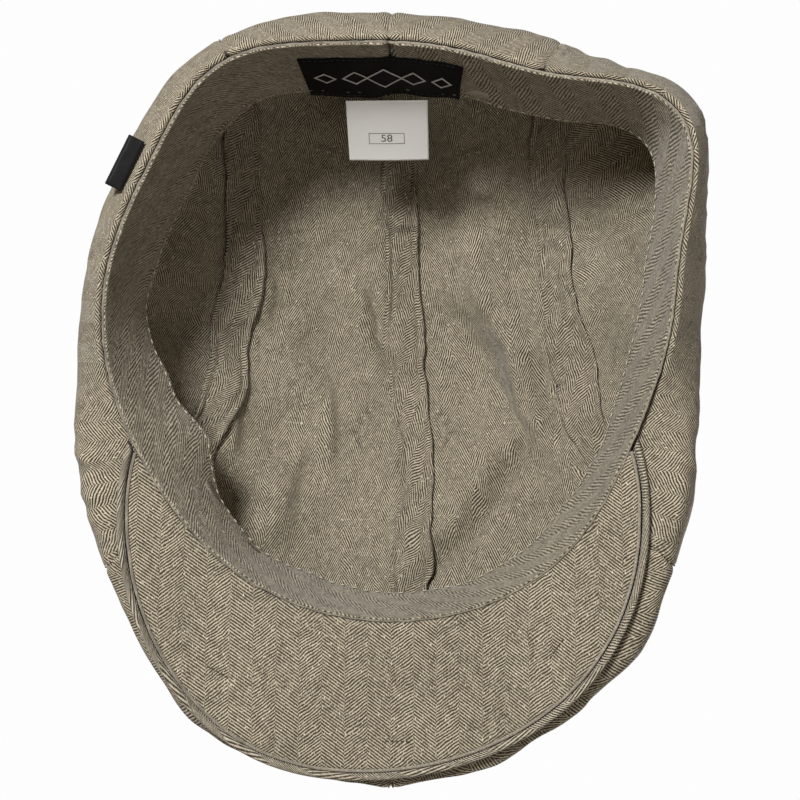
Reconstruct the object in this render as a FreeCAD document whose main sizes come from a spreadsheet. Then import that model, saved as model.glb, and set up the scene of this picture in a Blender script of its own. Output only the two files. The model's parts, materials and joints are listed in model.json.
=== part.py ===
"""Flat cap: a four-panel cloth crown over a short stiffened visor.

Frame: millimetres, +Z up (crown up), origin at the centre of the head opening in the
plane of the rim, the visor towards -Y, the wearer's left towards +X.  Angles round the
cap are in degrees, 0 at the front centre and positive towards the wearer's left.
"""
import FreeCAD, Part
import Sketcher
import math
import os

from FreeCAD import Placement, Rotation, Vector

doc = FreeCAD.newDocument("flat_cap")

# ---------------------------------------------------------------- driving dimensions
DIMENSIONS = [
    ("head_size", 580.0, "inside length of the sweatband at the rim"),
    ("crown_height", 95.0, "top of the crown above the rim"),
    ("back_overhang", 13.0, "crown beyond the rim at the back"),
    ("side_overhang", 9.5, "crown beyond the rim at the sides"),
    ("front_overhang", 2.5, "crown beyond the visor edge at the front"),
    ("brim_height_back", 28.0, "widest line of the crown at the back"),
    ("brim_height_side", 24.0, "widest line of the crown at the sides"),
    ("brim_rise_front", 1.5, "widest line of the crown at the front, above the visor"),
    ("crown_cloth", 1.0, "thickness of the crown panels"),
    ("seam_gap", 0.3, "free width left between two sewn panels"),
    ("ply_gap", 0.25, "clearance between layers that lie on each other"),
    ("seam_angle_front", 51.0, "side seam at the front, from the front centre"),
    ("seam_angle_back", 150.0, "side seam at the back, from the front centre"),
    ("tape_width", 13.0, "width of the seam tapes"),
    ("tape_cloth", 0.8, "thickness of the seam tapes"),
    ("band_width", 31.0, "width of the sweatband from the rim to its free edge"),
    ("band_cloth", 0.9, "thickness of the sweatband facing"),
    ("interlining_cloth", 0.6, "thickness of the strip behind the sweatband"),
    ("band_lean", 6.5, "mean inward lean of the sweatband's free edge"),
    ("visor_length", 48.0, "visor in front of the rim at the centre"),
    ("visor_width", 166.0, "visor from side to side"),
    ("visor_widest", 53.0, "widest line of the visor in front of the origin"),
    ("visor_slope", 0.13, "fall of the visor per millimetre forward"),
    ("visor_arch", 0.002, "fall of the visor per square millimetre sideways"),
    ("visor_cloth", 0.8, "thickness of each visor cover"),
    ("layer_gap", 0.1, "clearance between the visor's layers"),
    ("board_thickness", 1.5, "thickness of the visor board"),
    ("edge_roll", 2.6, "width of the top cover's rolled edge"),
    ("woven_width", 49.0, "width of the woven label"),
    ("woven_height", 24.5, "height of the woven label on the sweatband"),
    ("label_cloth", 0.5, "thickness of the woven label"),
    ("size_width", 27.0, "width of the size label"),
    ("size_length", 24.0, "length of the size label below its seam"),
    ("size_cloth", 0.35, "thickness of the size label"),
    ("size_lean", 45.0, "lean of the size label from upright"),
    ("swing_gap", 0.35, "clearance of the swinging size label"),
    ("tab_width", 17.0, "side tab along the rim"),
    ("tab_reach", 6.6, "side tab outwards from the rim"),
    ("tab_roll", 2.6, "thickness of the side tab's folded end"),
    ("tab_ply", 0.7, "thickness of the side tab's ribbon"),
    ("tab_gap", 1.25, "side tab's root to the crown cloth"),
    ("tack_length", 8.0, "length of a bar tack"),
    ("tack_width", 1.2, "width of a bar tack"),
    ("tack_depth", 0.5, "thickness of a bar tack"),
]

sheet = doc.addObject("Spreadsheet::Sheet", "Sizes")
for row, (alias, value, meaning) in enumerate(DIMENSIONS, start=1):
    sheet.set("A%d" % row, alias)
    sheet.set("B%d" % row, str(value))
    sheet.set("C%d" % row, meaning)
    sheet.setAlias("B%d" % row, alias)
doc.recompute()


def size(alias):
    """A driving dimension read back from the sheet."""
    return float(sheet.get(alias))


# ------------------------------------------------------------------ outlines in plan
def ease(x):
    """Smooth step from 0 to 1."""
    x = min(1.0, max(0.0, x))
    return x * x * (3.0 - 2.0 * x)


def bump(angle, centre, width):
    """Smooth bump of height 1 at one place round the cap."""
    away = (angle - centre + 180.0) % 360.0 - 180.0
    return math.exp(-(away / width) ** 2)


def on_plan(angle, radius):
    """Plan position of a point given by its angle and its distance from the origin."""
    turn = math.radians(angle)
    return Vector(radius * math.sin(turn), -radius * math.cos(turn), 0.0)


# The soft opening lies as a circle with both rear corners pushed out, the right one far
# more, and with its front sides pressed in a little.
RIGHT_CORNER, RIGHT_SPREAD, RIGHT_PUSH = -127.5, 16.0, 0.24
LEFT_CORNER, LEFT_SPREAD, LEFT_PUSH = 148.0, 17.0, 0.10
RIGHT_PRESS, RIGHT_PRESS_SPREAD, RIGHT_PRESS_IN = -68.0, 28.0, 0.085
LEFT_PRESS, LEFT_PRESS_SPREAD, LEFT_PRESS_IN = 58.0, 25.0, 0.03


def opening_shape(angle):
    """Opening outline for a mean radius of about one."""
    return (1.0 + RIGHT_PUSH * bump(angle, RIGHT_CORNER, RIGHT_SPREAD)
            + LEFT_PUSH * bump(angle, LEFT_CORNER, LEFT_SPREAD)
            - RIGHT_PRESS_IN * bump(angle, RIGHT_PRESS, RIGHT_PRESS_SPREAD)
            - LEFT_PRESS_IN * bump(angle, LEFT_PRESS, LEFT_PRESS_SPREAD))


def outline_length(radius_at):
    """Length of a closed outline, added up degree by degree."""
    points = [on_plan(angle, radius_at(angle)) for angle in range(361)]
    return sum(a.distanceToPoint(b) for a, b in zip(points, points[1:]))


opening_scale = size("head_size") / outline_length(opening_shape)
band_layers = size("band_cloth") + size("ply_gap") + size("interlining_cloth")
rim_layers = band_layers + size("ply_gap") + size("crown_cloth")


def rim_radius(angle, outward=0.0):
    """The sweatband's inner face at the rim, or an outline outside it."""
    return opening_scale * opening_shape(angle) + outward


front_edge = rim_radius(0.0, band_layers + size("ply_gap")) + size("visor_length")
VISOR_ROUNDNESS = 2.1
VISOR_REAR = 70.0
VISOR_ASIDE = 2.5
VISOR_SKEW = 6.5


def visor_point(turn, inset=0.0):
    """Plan point of the visor's outline: a blunt oval, a little skew to the left.

    The turn is in degrees about the middle of its widest line, 0 towards the front.
    """
    across, along = math.sin(math.radians(turn)), math.cos(math.radians(turn))
    half = size("visor_width") / 2.0 - inset
    forward = front_edge - size("visor_widest") - inset
    reach = forward if along > 0.0 else VISOR_REAR - inset
    power = 2.0 / VISOR_ROUNDNESS
    x = half * math.copysign(abs(across) ** power, across)
    ahead = reach * math.copysign(abs(along) ** power, along)
    skew = VISOR_ASIDE + VISOR_SKEW * max(0.0, ahead / forward) ** 4
    return Vector(x + skew, -size("visor_widest") - ahead, 0.0)


def visor_outline(inset=0.0):
    """Closed plan outline of the visor."""
    return [visor_point(turn, inset) for turn in range(0, 360, 5)]


CROWN_BLUNTNESS = 2.3
CROWN_TURN = 3.5
CROWN_SHIFT = 1.5
# Where the slack crown stands out or in: angle, spread and distance.
CROWN_SLACK = [(RIGHT_CORNER, 14.0, 16.0), (LEFT_CORNER, LEFT_SPREAD, 3.0),
               (115.0, 18.0, -4.0), (45.0, 15.0, -3.0), (-92.0, 12.0, -2.0)]


def crown_radius(angle):
    """Widest plan outline of the crown; its front follows the skew visor."""
    ahead = max(0.0, math.cos(math.radians(angle)))
    turned = math.radians(angle - CROWN_TURN * ahead * ahead)
    across, along = math.sin(turned), math.cos(turned)
    rim = opening_scale + rim_layers
    side = rim + size("side_overhang")
    reach = front_edge + size("front_overhang")
    if along < 0.0:
        reach = rim + size("back_overhang")
    blunt = ((abs(along) / reach) ** CROWN_BLUNTNESS
             + (abs(across) / side) ** CROWN_BLUNTNESS)
    slack = sum(out * bump(angle, centre, width) for centre, width, out in CROWN_SLACK)
    return blunt ** (-1.0 / CROWN_BLUNTNESS) + CROWN_SHIFT * across + slack


# ----------------------------------------------------------------------- height laws
def visor_fall(x, y):
    """Underside of the visor before it is lifted to the resting plane."""
    return size("visor_slope") * y - size("visor_arch") * x * x


visor_lift = -min(visor_fall(p.x, p.y) for p in visor_outline())
visor_stack = (2.0 * size("visor_cloth") + size("board_thickness")
               + 2.0 * size("layer_gap"))


def visor_height(x, y):
    """Underside of the visor: its sides just reach the resting plane."""
    return visor_lift + visor_fall(x, y)


# The rim starts to climb behind the sides and reaches the visor in front of them, both
# as the cosine of the angle from the front centre.
CLIMB_START, CLIMB_END = -0.26, 0.44


def rim_height(angle):
    """The rim is level at the back and sides and climbs to the visor seam in front."""
    along = math.cos(math.radians(angle))
    share = ease((along - CLIMB_START) / (CLIMB_END - CLIMB_START))
    at = on_plan(angle, rim_radius(angle))
    return share * visor_height(at.x, at.y)


def by_side(angle, front, side, back):
    """Blend of a front, a side and a back value round the cap."""
    along = math.cos(math.radians(angle))
    end = front if along > 0.0 else back
    return end * along * along + side * (1.0 - along * along)


crown_on_visor = visor_stack + 2.0 * size("ply_gap")
brim_front = visor_height(0.0, -front_edge) + crown_on_visor + size("brim_rise_front")
BRIM_FALL_END = 0.8


def brim_height(angle):
    """Height of the crown's widest line, which falls to the visor in front."""
    along = math.cos(math.radians(angle))
    side = by_side(angle, size("brim_height_side"), size("brim_height_side"),
                   size("brim_height_back"))
    return side + (brim_front - side) * ease(along / BRIM_FALL_END)


# Roundness of the crown's section at the front, the sides and the back.
CROWN_SWELL = (1.6, 2.0, 2.2)
CROWN_POWER = (0.8, 0.5, 0.42)


def crown_top(x, y):
    """Outer point of the crown above a plan position inside its widest outline."""
    angle = math.degrees(math.atan2(x, -y))
    share = min(1.0, math.hypot(x, y) / crown_radius(angle))
    swell = by_side(angle, *CROWN_SWELL)
    power = by_side(angle, *CROWN_POWER)
    level = brim_height(angle)
    dome = max(0.0, 1.0 - share ** swell) ** power
    return Vector(x, y, level + (size("crown_height") - level) * dome)


FOLD_REACH = 8.0
# The turned-in part lies on the visor in front of these cosines of the angle.
ON_VISOR_START, ON_VISOR_END = 0.03, 0.47


def crown_under(angle, inward):
    """Outer point of the turned-in part, from the widest line (0) to the rim (1)."""
    outer = crown_radius(angle)
    inner = rim_radius(angle, rim_layers)
    radius = outer + (inner - outer) * inward * inward
    level = brim_height(angle)
    wall = level + (rim_height(angle) - level) * inward
    edge = on_plan(angle, outer)
    at = on_plan(angle, radius)
    fold = level - visor_height(edge.x, edge.y) - crown_on_visor
    along = min(1.0, (outer - radius) / FOLD_REACH)
    round_in = 1.0 - math.sqrt(1.0 - (1.0 - along) ** 2)
    ply = visor_height(at.x, at.y) + crown_on_visor + fold * round_in
    ahead = math.cos(math.radians(angle))
    front = ease((ahead - ON_VISOR_START) / (ON_VISOR_END - ON_VISOR_START))
    return Vector(at.x, at.y, wall + (ply - wall) * front)


# The sweatband leans in less at the front and folds in further at the left front.
BAND_FRONT = 0.25
BAND_FOLD, BAND_FOLD_ANGLE, BAND_FOLD_SPREAD = 7.0, 68.0, 18.0


def band_point(angle, share, inward=0.0):
    """Point of the sweatband: share 0 at the rim, 1 at the free edge."""
    lean = (size("band_lean") * (1.0 - BAND_FRONT * math.cos(math.radians(angle)))
            + BAND_FOLD * bump(angle, BAND_FOLD_ANGLE, BAND_FOLD_SPREAD))
    rise = math.sqrt(size("band_width") ** 2 - lean ** 2)
    at = on_plan(angle, rim_radius(angle) - lean * share - inward)
    return Vector(at.x, at.y, rim_height(angle) + rise * share)


# ------------------------------------------------------------------- cloth as solids
def grid_normal(grid, i, j):
    """Unit normal of a grid of points, from its neighbours."""
    last_i, last_j = len(grid) - 1, len(grid[0]) - 1
    along = grid[min(i + 1, last_i)][j] - grid[max(i - 1, 0)][j]
    across = grid[i][min(j + 1, last_j)] - grid[i][max(j - 1, 0)]
    normal = along.cross(across)
    normal.normalize()
    return normal


def shifted(grid, depth):
    """The grid moved towards the inside of the cap by a depth."""
    middle = Vector(0.0, 0.0, size("crown_height") / 2.0)
    centre_i, centre_j = len(grid) // 2, len(grid[0]) // 2
    probe = grid_normal(grid, centre_i, centre_j)
    inward = 1.0 if probe.dot(middle - grid[centre_i][centre_j]) > 0.0 else -1.0
    return [[grid[i][j] + grid_normal(grid, i, j) * inward * depth
             for j in range(len(grid[0]))] for i in range(len(grid))]


def smooth_face(grid):
    """Smooth face led by a grid of points, without ripples between them."""
    knots = []
    mults = []
    for count in (len(grid), len(grid[0])):
        spans = count - 3
        knots.append([float(k) for k in range(spans + 1)])
        mults.append([4] + [1] * (spans - 1) + [4])
    surface = Part.BSplineSurface()
    surface.buildFromPolesMultsKnots(grid, mults[0], mults[1], knots[0], knots[1],
                                     False, False, 3, 3)
    return surface.toShape()


def cloth(outer, inner):
    """Closed solid between two grids of points that lie face to face."""
    faces = [smooth_face(outer), smooth_face(inner)]
    for edge_outer, edge_inner in zip(faces[0].Edges, faces[1].Edges):
        faces.append(Part.makeRuledSurface(edge_outer, edge_inner))
    shell = Part.makeShell(faces)
    shell.sewShape()
    solid = Part.makeSolid(Part.Shell(shell.Faces))
    if solid.Volume < 0.0:
        solid.reverse()
    return solid


def spread(count):
    """Shares from 0 to 1 that gather at both ends."""
    return [(1.0 - math.cos(math.pi * k / (count - 1))) / 2.0 for k in range(count)]


def even(count):
    """Evenly spaced shares from 0 to 1."""
    return [k / (count - 1) for k in range(count)]


# A side seam keeps its distance at the back and closes in towards the front.
SIDE_SEAM_BEND = 3.0


def side_seam(side, share, outward=0.0):
    """Plan point of a side seam, share 0 at the back and 1 at the front."""
    back_angle = side * size("seam_angle_back")
    front_angle = side * size("seam_angle_front")
    back = on_plan(back_angle, crown_radius(back_angle))
    front = on_plan(front_angle, crown_radius(front_angle))
    x = back.x + (front.x - back.x) * share ** SIDE_SEAM_BEND + side * outward
    return Vector(x, back.y + (front.y - back.y) * share, 0.0)


# In front of the crown's top the slack cloth carries the centre seam to the right.
DRIFT, DRIFT_Y, DRIFT_SPREAD = -7.0, -55.0, 38.0


def centre_seam(share):
    """Plan point of the centre seam, share 0 at the back and 1 at the front."""
    y = crown_radius(180.0) * (1.0 - share) - crown_radius(0.0) * share
    return Vector(DRIFT * math.exp(-((y - DRIFT_Y) / DRIFT_SPREAD) ** 2), y, 0.0)


def top_panel(side):
    """Outer points of a top panel, from the back rim over the top to the front."""
    half_gap = size("seam_gap") / 2.0
    columns = even(13)

    def arc(end, share):
        target = size("seam_angle_back") if end == "back" else size("seam_angle_front")
        start = 180.0 if end == "back" else 0.0
        trim = math.degrees(half_gap / crown_radius(side * target))
        step_in = trim if end == "back" else -trim
        near_seam = target + step_in
        near_centre = start + (-trim if end == "back" else trim)
        return side * (near_centre + (near_seam - near_centre) * share)

    def brim(end, share):
        angle = arc(end, share)
        return on_plan(angle, crown_radius(angle))

    rows = [[crown_under(arc("back", u), q) for u in columns] for q in (1.0, 0.8, 0.6, 0.4, 0.2)]
    for w in spread(33):
        row = []
        for u in columns:
            centre = centre_seam(w) + Vector(side * half_gap, 0.0, 0.0)
            seam = side_seam(side, w, -half_gap)
            ends = brim("back", u) * (1.0 - w) + brim("front", u) * w
            corners = ((brim("back", 0.0) * (1.0 - u) + brim("back", 1.0) * u) * (1.0 - w)
                       + (brim("front", 0.0) * (1.0 - u) + brim("front", 1.0) * u) * w)
            at = centre * (1.0 - u) + seam * u + ends - corners
            row.append(crown_top(at.x, at.y))
        rows.append(row)
    rows += [[crown_under(arc("front", u), q) for u in columns]
             for q in (0.1, 0.2, 0.3, 0.4, 0.55, 0.7, 0.85, 1.0)]
    return rows


def side_panel(side):
    """Outer points of a side panel, from the side seam down to the rim."""
    columns = []
    for share in spread(41):
        at = side_seam(side, share, size("seam_gap") / 2.0)
        angle = math.degrees(math.atan2(at.x, -at.y))
        radius = min(at.Length, crown_radius(angle))
        start = math.asin(radius / crown_radius(angle)) / (math.pi / 2.0)
        column = []
        for step in even(21):
            level = start + (2.0 - start) * step
            if level < 1.0:
                reach = crown_radius(angle) * math.sin(level * math.pi / 2.0)
                plan = on_plan(angle, reach)
                column.append(crown_top(plan.x, plan.y))
            else:
                column.append(crown_under(angle, level - 1.0))
        columns.append(column)
    return columns


def tape_strip(plan_at, shares):
    """Outer points of the crown above a strip that follows a seam in plan."""
    rows = []
    for share in shares:
        ahead = plan_at(share + 0.01) - plan_at(share - 0.01)
        across = Vector(-ahead.y, ahead.x, 0.0)
        across.normalize()
        middle = plan_at(share)
        row = []
        for step in (-1.0, -0.5, 0.0, 0.5, 1.0):
            at = middle + across * (step * size("tape_width") / 2.0)
            row.append(crown_top(at.x, at.y))
        rows.append(row)
    return rows


def strip_shares(first, last, count):
    """Shares along a tape that gather at both ends."""
    return [first + (last - first) * share for share in spread(count)]


# ----------------------------------------------------------------- objects and nodes
nodes = []


def add_cloth(name, shape):
    """Store a shaped cloth piece as a node of the cap."""
    piece = doc.addObject("Part::Feature", name)
    piece.Label = name
    piece.Shape = shape
    piece.Placement = Placement()
    nodes.append(piece)
    return piece


for side, hand in ((1.0, "left"), (-1.0, "right")):
    outer = top_panel(side)
    add_cloth("crown_top_" + hand, cloth(outer, shifted(outer, size("crown_cloth"))))
    outer = side_panel(side)
    add_cloth("crown_side_" + hand, cloth(outer, shifted(outer, size("crown_cloth"))))

# Seam tapes lie inside the crown, just clear of its inner face, and stop short of the
# rim by these shares of their seams.
tape_depth = size("crown_cloth") + size("ply_gap") + size("layer_gap")
CENTRE_TAPE_ENDS = (0.02, 0.93)
SIDE_TAPE_ENDS = (0.06, 0.86)
tape_routes = [
    ("centre_seam_tape", centre_seam, CENTRE_TAPE_ENDS),
    ("side_seam_tape_left", lambda share: side_seam(1.0, share), SIDE_TAPE_ENDS),
    ("side_seam_tape_right", lambda share: side_seam(-1.0, share), SIDE_TAPE_ENDS),
]
for name, route, (first, last) in tape_routes:
    strip = tape_strip(route, strip_shares(first, last, 25))
    add_cloth(name, cloth(shifted(strip, tape_depth),
                          shifted(strip, tape_depth + size("tape_cloth"))))

# The sweatband and the strip behind it are joined at the centre back, where they gape a
# hair.  The strip stops a little below the band's free edge.
INTERLINING_TOP = 0.95
join = math.degrees(size("seam_gap") / 2.0 / opening_scale)
ring_angles = [-180.0 + join + (360.0 - 2.0 * join) * k for k in even(121)]
band_rows = [
    ("sweatband", 0.0, -size("band_cloth"), 1.0),
    ("sweatband_interlining", -size("band_cloth") - size("ply_gap"), -band_layers,
     INTERLINING_TOP),
]
for name, near, far, top in band_rows:
    faces = [[[band_point(angle, share * top, depth) for share in even(4)]
              for angle in ring_angles] for depth in (near, far)]
    add_cloth(name, cloth(faces[0], faces[1]))

# The woven label is sewn to the sweatband at the centre back and stands a little above
# its free edge.
WOVEN_ANGLE = 178.3
woven_radius = opening_scale - size("band_lean")
woven_half = math.degrees(size("woven_width") / 2.0 / woven_radius)
woven_top = 1.04
woven_low = woven_top - size("woven_height") / size("band_width")
woven_faces = [[[band_point(WOVEN_ANGLE + woven_half * (2.0 * u - 1.0),
                            woven_low + (woven_top - woven_low) * v, depth)
                 for v in even(4)] for u in even(13)]
               for depth in (size("ply_gap"), size("ply_gap") + size("label_cloth"))]
add_cloth("woven_label", cloth(woven_faces[1], woven_faces[0]))


# -------------------------------------------------------------------------- the visor
SLAB_START = 30.0
SLAB_SPARE = 20.0


def visor_slab(name, low, high):
    """Arched layer between two heights above the visor's underside."""
    half = size("visor_width")
    start = SLAB_START
    reach = front_edge + start + SLAB_SPARE
    rise = size("visor_arch") * half * half
    wires = []
    for level in (low, high):
        ends = visor_height(half, start) + level
        arch = Part.BezierCurve()
        arch.setPoles([Vector(-half, start, ends), Vector(0.0, start, ends + 2.0 * rise),
                       Vector(half, start, ends)])
        wires.append(arch.toShape())
    section = Part.makeRuledSurface(wires[0], wires[1])
    slab = doc.addObject("Part::Feature", name)
    slab.Shape = section.extrude(Vector(0.0, -reach, -reach * size("visor_slope")))
    return slab


def plan_prism(name, points):
    """Upright prism over a smooth closed outline."""
    curve = Part.BSplineCurve()
    curve.interpolate(points, PeriodicFlag=True)
    outline = doc.addObject("Part::Feature", name + "_outline")
    outline.Shape = Part.Wire(curve.toShape())
    outline.Placement = Placement(Vector(0.0, 0.0, -SLAB_SPARE), Rotation())
    prism = doc.addObject("Part::Extrusion", name)
    prism.Base = outline
    prism.DirMode = "Custom"
    prism.Dir = Vector(0.0, 0.0, 1.0)
    prism.setExpression("LengthFwd", "Sizes.crown_height")
    prism.Solid = True
    return prism


def combine(kind, name, base, tool):
    """Boolean feature of two objects."""
    feature = doc.addObject(kind, name)
    feature.Base = base
    feature.Tool = tool
    return feature


cover_low = size("visor_cloth") + size("layer_gap")
cover_top = cover_low + size("board_thickness") + size("layer_gap")
rim_prism = plan_prism("rim_prism", [
    on_plan(angle, rim_radius(angle, band_layers + size("ply_gap")))
    for angle in range(0, 360, 5)])
edge_prism = plan_prism("visor_prism", visor_outline())
core_prism = plan_prism("visor_core_prism", visor_outline(size("edge_roll")))
lining_prism = plan_prism("visor_lining_prism",
                          visor_outline(size("edge_roll") + size("layer_gap")))

visor_layers = [
    ("visor_under_cover", lining_prism, 0.0, size("visor_cloth")),
    ("visor_board", lining_prism, cover_low, cover_low + size("board_thickness")),
    ("visor_top_cover", edge_prism, 0.0, visor_stack),
]
for name, prism, low, high in visor_layers:
    slab = visor_slab(name + "_slab", low, high)
    blank = combine("Part::Common", name + "_blank", slab, prism)
    if name == "visor_top_cover":
        hollow = visor_slab("visor_hollow_slab", -visor_stack, cover_top)
        core = combine("Part::Common", "visor_hollow", hollow, core_prism)
        blank = combine("Part::Cut", "visor_cover_shell", blank, core)
    piece = combine("Part::Cut", name, blank, rim_prism)
    piece.Label = name
    nodes.append(piece)

# Three bar tacks fasten the crown's front to the visor.  Each has its turn round the
# visor, its distance from the visor's edge and the way it lies.
TACKS = [("centre", -8.0, 11.5, 0.0), ("left", 45.0, 13.8, 30.0), ("right", -53.0, 14.5, -55.0)]
tack_parts = []
for name, round_at, inset, turn in TACKS:
    place = visor_point(round_at, inset)
    tack = doc.addObject("Part::Box", "tack_" + name)
    tack.setExpression("Length", "Sizes.tack_length")
    tack.setExpression("Width", "Sizes.tack_width")
    tack.setExpression("Height", "Sizes.tack_depth")
    fall = math.degrees(math.atan(size("visor_slope")))
    lie = Rotation(Vector(0.0, 0.0, 1.0), turn)
    tilt = Rotation(Vector(1.0, 0.0, 0.0), fall)
    arch = math.degrees(math.atan(2.0 * size("visor_arch") * place.x))
    bank = Rotation(Vector(0.0, 1.0, 0.0), arch)
    corner = Vector(-size("tack_length") / 2.0, -size("tack_width") / 2.0,
                    -size("tack_depth") - size("layer_gap"))
    turned = bank.multiply(tilt).multiply(lie)
    place.z = visor_height(place.x, place.y)
    tack.Placement = Placement(place + turned.multVec(corner), turned)
    tack_parts.append(tack)
tacks = doc.addObject("Part::Compound", "visor_tacks")
tacks.Label = "visor_tacks"
tacks.Links = tack_parts
nodes.append(tacks)

# --------------------------------------------------------------------- the loose trim
# The size label is a flat piece of ribbon that turns on its sewn edge, just in front of
# the woven label's upper edge.
half_width = size("size_width") / 2.0
woven_edge = band_point(WOVEN_ANGLE, woven_top, size("ply_gap") + size("label_cloth"))
woven_sagitta = woven_radius - math.sqrt(woven_radius ** 2 - half_width ** 2)
hinge_gap = size("size_cloth") / 2.0 + size("swing_gap")
hinge = woven_edge + Vector(0.0, -woven_sagitta - hinge_gap, hinge_gap)
label_body = doc.addObject("PartDesign::Body", "size_label")
label_body.Label = "size_label"
flat = label_body.newObject("Sketcher::SketchObject", "size_label_sketch")
xy_plane = [f for f in label_body.Origin.OriginFeatures if f.Role == "XY_Plane"][0]
flat.AttachmentSupport = [(xy_plane, "")]
flat.MapMode = "FlatFace"
corners = [Vector(-half_width, 0.0, 0.0), Vector(half_width, 0.0, 0.0),
           Vector(half_width, size("size_length"), 0.0),
           Vector(-half_width, size("size_length"), 0.0)]
for first, second in zip(corners, corners[1:] + corners[:1]):
    flat.addGeometry(Part.LineSegment(first, second), False)
for line in range(4):
    flat.addConstraint(Sketcher.Constraint("Coincident", line, 2, (line + 1) % 4, 1))
flat.addConstraint(Sketcher.Constraint("Horizontal", 0))
flat.addConstraint(Sketcher.Constraint("Horizontal", 2))
flat.addConstraint(Sketcher.Constraint("Vertical", 1))
flat.addConstraint(Sketcher.Constraint("Vertical", 3))
flat.addConstraint(Sketcher.Constraint("Symmetric", 0, 1, 0, 2, -1, 1))
wide = flat.addConstraint(Sketcher.Constraint("DistanceX", 0, 1, 0, 2, size("size_width")))
long = flat.addConstraint(Sketcher.Constraint("DistanceY", 1, 1, 1, 2, size("size_length")))
flat.setExpression("Constraints[%d]" % wide, "Sizes.size_width")
flat.setExpression("Constraints[%d]" % long, "Sizes.size_length")
pad = label_body.newObject("PartDesign::Pad", "size_label_pad")
pad.Profile = flat
pad.setExpression("Length", "Sizes.size_cloth")
pad.Midplane = True
label_body.Placement = Placement(hinge, Rotation(Vector(1.0, 0.0, 0.0), 90.0 + size("size_lean")))
nodes.append(label_body)

# The side tab is a ribbon folded over and caught in the rim seam on the left.  Its plies
# draw together at the root to these shares of one ply.
TAB_ANGLE = 123.5
TAB_ROOT, TAB_SLIT = 0.55, 0.1


def tab_loop(root, roll, reach):
    """Teardrop outline: a thin root at the seam and a round fold at the far end."""
    centre = Vector(reach - roll, roll, 0.0)
    lean = math.atan2(roll - root, reach - roll)
    top = centre + Vector(-math.sin(lean) * roll, math.cos(lean) * roll, 0.0)
    low = centre + Vector(0.0, -roll, 0.0)
    nose = centre + Vector(roll, 0.0, 0.0)
    edges = [Part.LineSegment(Vector(0.0, 0.0, 0.0), low).toShape(),
             Part.Arc(low, nose, top).toShape(),
             Part.LineSegment(top, Vector(0.0, 2.0 * root, 0.0)).toShape(),
             Part.LineSegment(Vector(0.0, 2.0 * root, 0.0), Vector(0.0, 0.0, 0.0)).toShape()]
    return Part.Wire(edges)


ply = size("tab_ply")
roll = size("tab_roll") / 2.0
tab_profile = doc.addObject("Part::Feature", "tab_profile")
loop = tab_loop(ply * TAB_ROOT, roll, size("tab_reach"))
bore = tab_loop(ply * TAB_SLIT, roll - ply, size("tab_reach") - 2.0 * ply)
bore.translate(Vector(ply, ply, 0.0))
tab_profile.Shape = Part.Face(loop).cut(Part.Face(bore))
tab = doc.addObject("Part::Extrusion", "side_tab")
tab.Base = tab_profile
tab.DirMode = "Custom"
tab.Dir = Vector(0.0, 0.0, 1.0)
tab.setExpression("LengthFwd", "Sizes.tab_width / 2")
tab.setExpression("LengthRev", "Sizes.tab_width / 2")
tab.Solid = True
tab.Label = "side_tab"
tab_turn = math.degrees(size("tab_width") / 2.0 / rim_radius(TAB_ANGLE))
tab_ends = [on_plan(angle, rim_radius(angle, rim_layers))
            for angle in (TAB_ANGLE - tab_turn, TAB_ANGLE + tab_turn)]
along_rim = tab_ends[1] - tab_ends[0]
square_out = Vector(along_rim.y, -along_rim.x, 0.0)
square_out.normalize()
tab_root = on_plan(TAB_ANGLE, rim_radius(TAB_ANGLE, rim_layers)) + square_out * size("tab_gap")
tab_root.z = size("layer_gap")
upright = Rotation(Vector(1.0, 0.0, 0.0), 90.0)
outwards = Rotation(Vector(0.0, 0.0, 1.0), math.degrees(math.atan2(square_out.y, square_out.x)))
tab.Placement = Placement(tab_root, outwards.multiply(upright))
nodes.append(tab)

# ------------------------------------------------------------------- check and export
doc.recompute()
for item in doc.Objects:
    if "Invalid" in item.State or "Error" in item.State:
        raise RuntimeError("%s failed: %s" % (item.Name, item.State))
for node in nodes:
    if node.Shape.isNull() or not node.Shape.isValid() or node.Shape.Volume <= 0.0:
        raise RuntimeError("%s has no sound solid" % node.Label)

os.makedirs("parts", exist_ok=True)
for node in nodes:
    node.Shape.exportStep("parts/%s.step" % node.Label)
    print("%-24s %8.2f mm3  %d solid(s)" % (node.Label, node.Shape.Volume, len(node.Shape.Solids)))
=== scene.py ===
import bmesh
import bpy
import json
import math
from mathutils import Matrix, Vector, noise


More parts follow.
